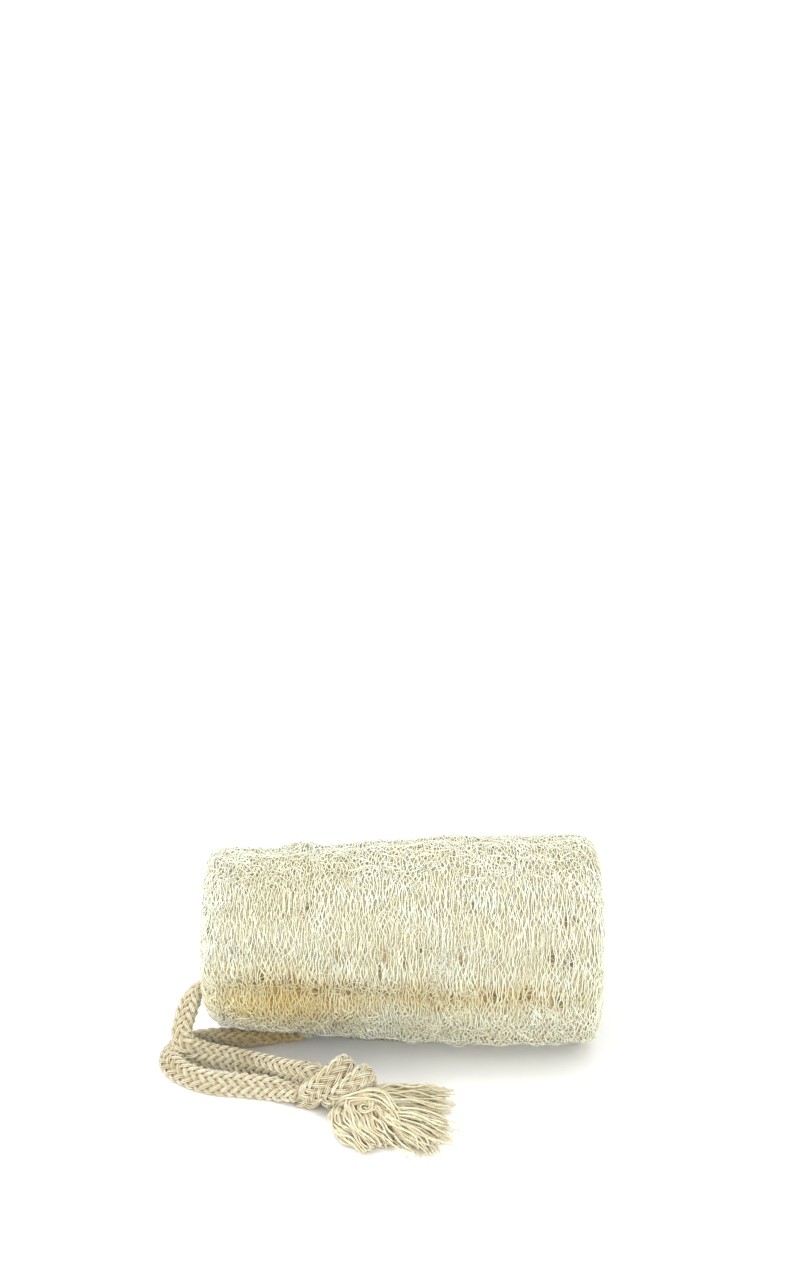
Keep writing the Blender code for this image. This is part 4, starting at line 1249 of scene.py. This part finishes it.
def make_knot(settings):
    """The overhand knot in the doubled cord: three leaning turns and the strands that run into them."""
    axis, up, side = knot_directions()
    parts = []
    for turn in KNOT_TURNS:
        lean = math.radians(turn["lean"])
        long_way = math.cos(lean) * up + math.sin(lean) * axis
        normal = np.cross(long_way, side)
        rim = math.pi * (turn["long"] + turn["across"])
        t = np.linspace(math.pi, 3 * math.pi, round(rim / BRAID_STEP))[:, None]
        path = KNOT_CENTRE + turn["along"] * axis
        path = path + turn["long"] * np.cos(t) * long_way + turn["across"] * np.sin(t) * side
        wide = np.broadcast_to(normal, path.shape)
        parts += braid(path, wide, turn["wide"], TURN_HALF_THICKNESS, settings)
    for ends in (CORD_ROUTE[1::-1], CORD_ROUTE[-2:]):
        before, mouth = (np.array(point) for point in ends)
        inside = mouth + INTO_KNOT_SHARE * (KNOT_CENTRE - mouth)
        at, read = spline_through([mouth, mouth + INTO_KNOT_RUN * unit(mouth - before), inside])
        path = read(np.linspace(0, at[-1], round(at[-1] / BRAID_STEP)))
        wide = np.broadcast_to(INTO_KNOT_WIDE_WAY, path.shape)
        parts += braid(path, wide, settings.half_width, settings.half_thickness, settings)
    knot = add_piece("knot_braid", parts, braided_undyed_cotton(), "painted_shade")
    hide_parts("cord_knot")


def make_tassel(settings):
    """The frayed ends: wavy yarns in bunches that leave the knot, some curled over, most fanned out."""
    draw = np.random.default_rng(YARN_SEED)
    paths = []
    share = np.linspace(0, 1, YARN_POINTS)[:, None]
    for count, root, tip, guide in YARN_BUNCHES:
        at, read = spline_through(np.array(guide) * MM)
        for _ in range(count):
            path = read(at[-1] * np.linspace(0, draw.uniform(*YARN_SHARES), YARN_POINTS))
            ahead = unit(np.gradient(path, axis=0))
            aside = unit(np.cross(ahead, (0, 0, 1)) + 1e-6)
            above = np.cross(aside, ahead)
            spread = (root + (tip - root) * smooth(share)) * MM
            off, high = draw.normal(size=2) * YARN_SPREADS
            wave, curl = (
                size * np.sin(share * draw.uniform(*turns) + draw.uniform(0, 6)) * smooth(3 * share)
                for size, turns in YARN_WAVES)
            path = path + (off * spread + wave) * aside + (high * spread + curl) * above
            path[:, 2] = np.maximum(path[:, 2], settings.loose_radius + FLOOR_GAP)
            paths.append(path)
    radius = settings.loose_radius * (1 - YARN_THINNING * share[:, 0] ** 3)
    yarns = tubes(np.array(paths), radius, LOOSE_YARN_SIDES, YARN_TOP_WAY)
    tassel = add_piece("frayed_yarns", [yarns], frayed_undyed_cotton())
    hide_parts("cord_tassel")


def declare_cords():
    """Works out the points of the two free stretches of the cord, each from the sponge to the knot; nothing
    is done with them.
    """
    front, _ = cord_points(0, MOUTH_POINT, BRAID_STEP)
    under, _ = cord_points(UNDERSIDE_POINT, LAST_POINT, BRAID_STEP)


def add_softbox(name, power, place, size):
    """A square soft light that is turned to the sponge's place on the floor."""
    light = bpy.data.lights.new(name, "AREA")
    light.energy, light.shape, light.size = power, "SQUARE", size
    lamp = bpy.data.objects.new(name, light)
    lamp.location = place
    lamp.rotation_mode = "QUATERNION"
    lamp.rotation_quaternion = (-Vector(place)).to_track_quat("-Z", "Y")
    bpy.context.scene.collection.objects.link(lamp)


def make_studio(settings):
    """A plain pale floor, soft light from above and all round, and the camera of the photo."""
    scene = bpy.context.scene
    mesh = bpy.data.meshes.new("studio_floor")
    signs = ((-1, -1), (1, -1), (1, 1), (-1, 1))
    mesh.from_pydata([(x * FLOOR_HALF, y * FLOOR_HALF, 0) for x, y in signs], [], [(0, 1, 2, 3)])
    mesh.materials.append(matt_studio_paper())
    floor = bpy.data.objects.new("studio_floor", mesh)
    scene.collection.objects.link(floor)
    world = bpy.data.worlds.new("studio_sky")
    world.use_nodes = True
    sky = world.node_tree.nodes["Background"]
    sky.inputs["Color"].default_value = (1, 1, 1, 1)
    sky.inputs["Strength"].default_value = settings.sky_strength
    scene.world = world
    add_softbox("key_softbox", settings.key_power, KEY_PLACE, KEY_SIZE)
    add_softbox("fill_softbox", settings.fill_power, FILL_PLACE, FILL_SIZE)
    scene.view_settings.view_transform = "Standard"
    scene.view_settings.look = "None"
    camera = bpy.data.cameras.new("photo_camera")
    camera.sensor_width = SENSOR_LONG_SIDE_MM
    camera.lens = SENSOR_LONG_SIDE_MM * FOCAL_LENGTH_PX / PHOTO_SIZE_PX[1]
    lower = math.atan2(PHOTO_CENTRE_PX[1] - PHOTO_SIZE_PX[1] / 2, FOCAL_LENGTH_PX)
    aside = math.atan2(PHOTO_CENTRE_PX[0] - PHOTO_SIZE_PX[0] / 2, FOCAL_LENGTH_PX)
    holder = bpy.data.objects.new("photo_camera", camera)
    fall, distance = settings.sight_fall, settings.sight_distance
    holder.location = (0, -distance * math.cos(fall), AXIS_HEIGHT + distance * math.sin(fall))
    holder.rotation_euler = (math.pi / 2 - (fall - lower), 0, aside)
    scene.collection.objects.link(holder)
    scene.camera = holder


class LOOFAH_OT_middle(bpy.types.Operator):
    """Builds the dense middle with its three seed channels"""
    bl_idname = "loofah.middle"
    bl_label = "Dense middle"

    def execute(self, context):
        make_middle()
        return {"FINISHED"}


class LOOFAH_OT_nets(bpy.types.Operator):
    """Builds the outer net and the coarser net under it"""
    bl_idname = "loofah.nets"
    bl_label = "Nets of strands"

    def execute(self, context):
        make_net(context.scene.loofah)
        make_under_net(context.scene.loofah)
        return {"FINISHED"}


class LOOFAH_OT_fibres(bpy.types.Operator):
    """Builds the short fibres and the stray hairs over the net"""
    bl_idname = "loofah.fibres"
    bl_label = "Short fibres and hairs"

    def execute(self, context):
        make_felt(context.scene.loofah)
        make_hairs(context.scene.loofah)
        return {"FINISHED"}


class LOOFAH_OT_ends(bpy.types.Operator):
    """Builds the cut ends and the walls of the seed channels"""
    bl_idname = "loofah.ends"
    bl_label = "Cut ends and channels"

    def execute(self, context):
        make_end_nets()
        make_channel_linings()
        return {"FINISHED"}


class LOOFAH_OT_cord(bpy.types.Operator):
    """Builds the braided cord, its knot and its frayed ends"""
    bl_idname = "loofah.cord"
    bl_label = "Cord, knot and frayed ends"

    def execute(self, context):
        settings = context.scene.loofah_cord
        make_cord(settings)
        make_knot(settings)
        make_tassel(settings)
        declare_cords()
        return {"FINISHED"}


class LOOFAH_OT_studio(bpy.types.Operator):
    """Sets out the floor, the light and the camera"""
    bl_idname = "loofah.studio"
    bl_label = "Studio"

    def execute(self, context):
        make_studio(context.scene.loofah_studio)
        return {"FINISHED"}


class LOOFAH_PT_panel(bpy.types.Panel):
    """Lists the pieces in the order that they are built"""
    bl_label = "Loofah"
    bl_idname = "LOOFAH_PT_panel"
    bl_space_type = "VIEW_3D"
    bl_region_type = "UI"
    bl_category = "Loofah"

    def draw(self, context):
        for group in ("loofah", "loofah_cord", "loofah_studio"):
            settings = getattr(context.scene, group)
            box = self.layout.box()
            for name in settings.__annotations__:
                box.prop(settings, name)
        for operator in OPERATORS:
            self.layout.operator(operator.bl_idname)


OPERATORS = (
    LOOFAH_OT_studio, LOOFAH_OT_cord, LOOFAH_OT_middle, LOOFAH_OT_nets, LOOFAH_OT_fibres, LOOFAH_OT_ends,
)
CLASSES = (LoofahSettings, CordSettings, StudioSettings, *OPERATORS, LOOFAH_PT_panel)


def register():
    for made in CLASSES:
        bpy.utils.register_class(made)
    bpy.types.Scene.loofah = PointerProperty(type=LoofahSettings)
    bpy.types.Scene.loofah_cord = PointerProperty(type=CordSettings)
    bpy.types.Scene.loofah_studio = PointerProperty(type=StudioSettings)


def unregister():
    del bpy.types.Scene.loofah, bpy.types.Scene.loofah_cord, bpy.types.Scene.loofah_studio
    for made in reversed(CLASSES):
        bpy.utils.unregister_class(made)


def main():
    register()
    for operator in OPERATORS:
        group, name = operator.bl_idname.split(".")
        getattr(getattr(bpy.ops, group), name)()


if __name__ == "__main__":
    main()
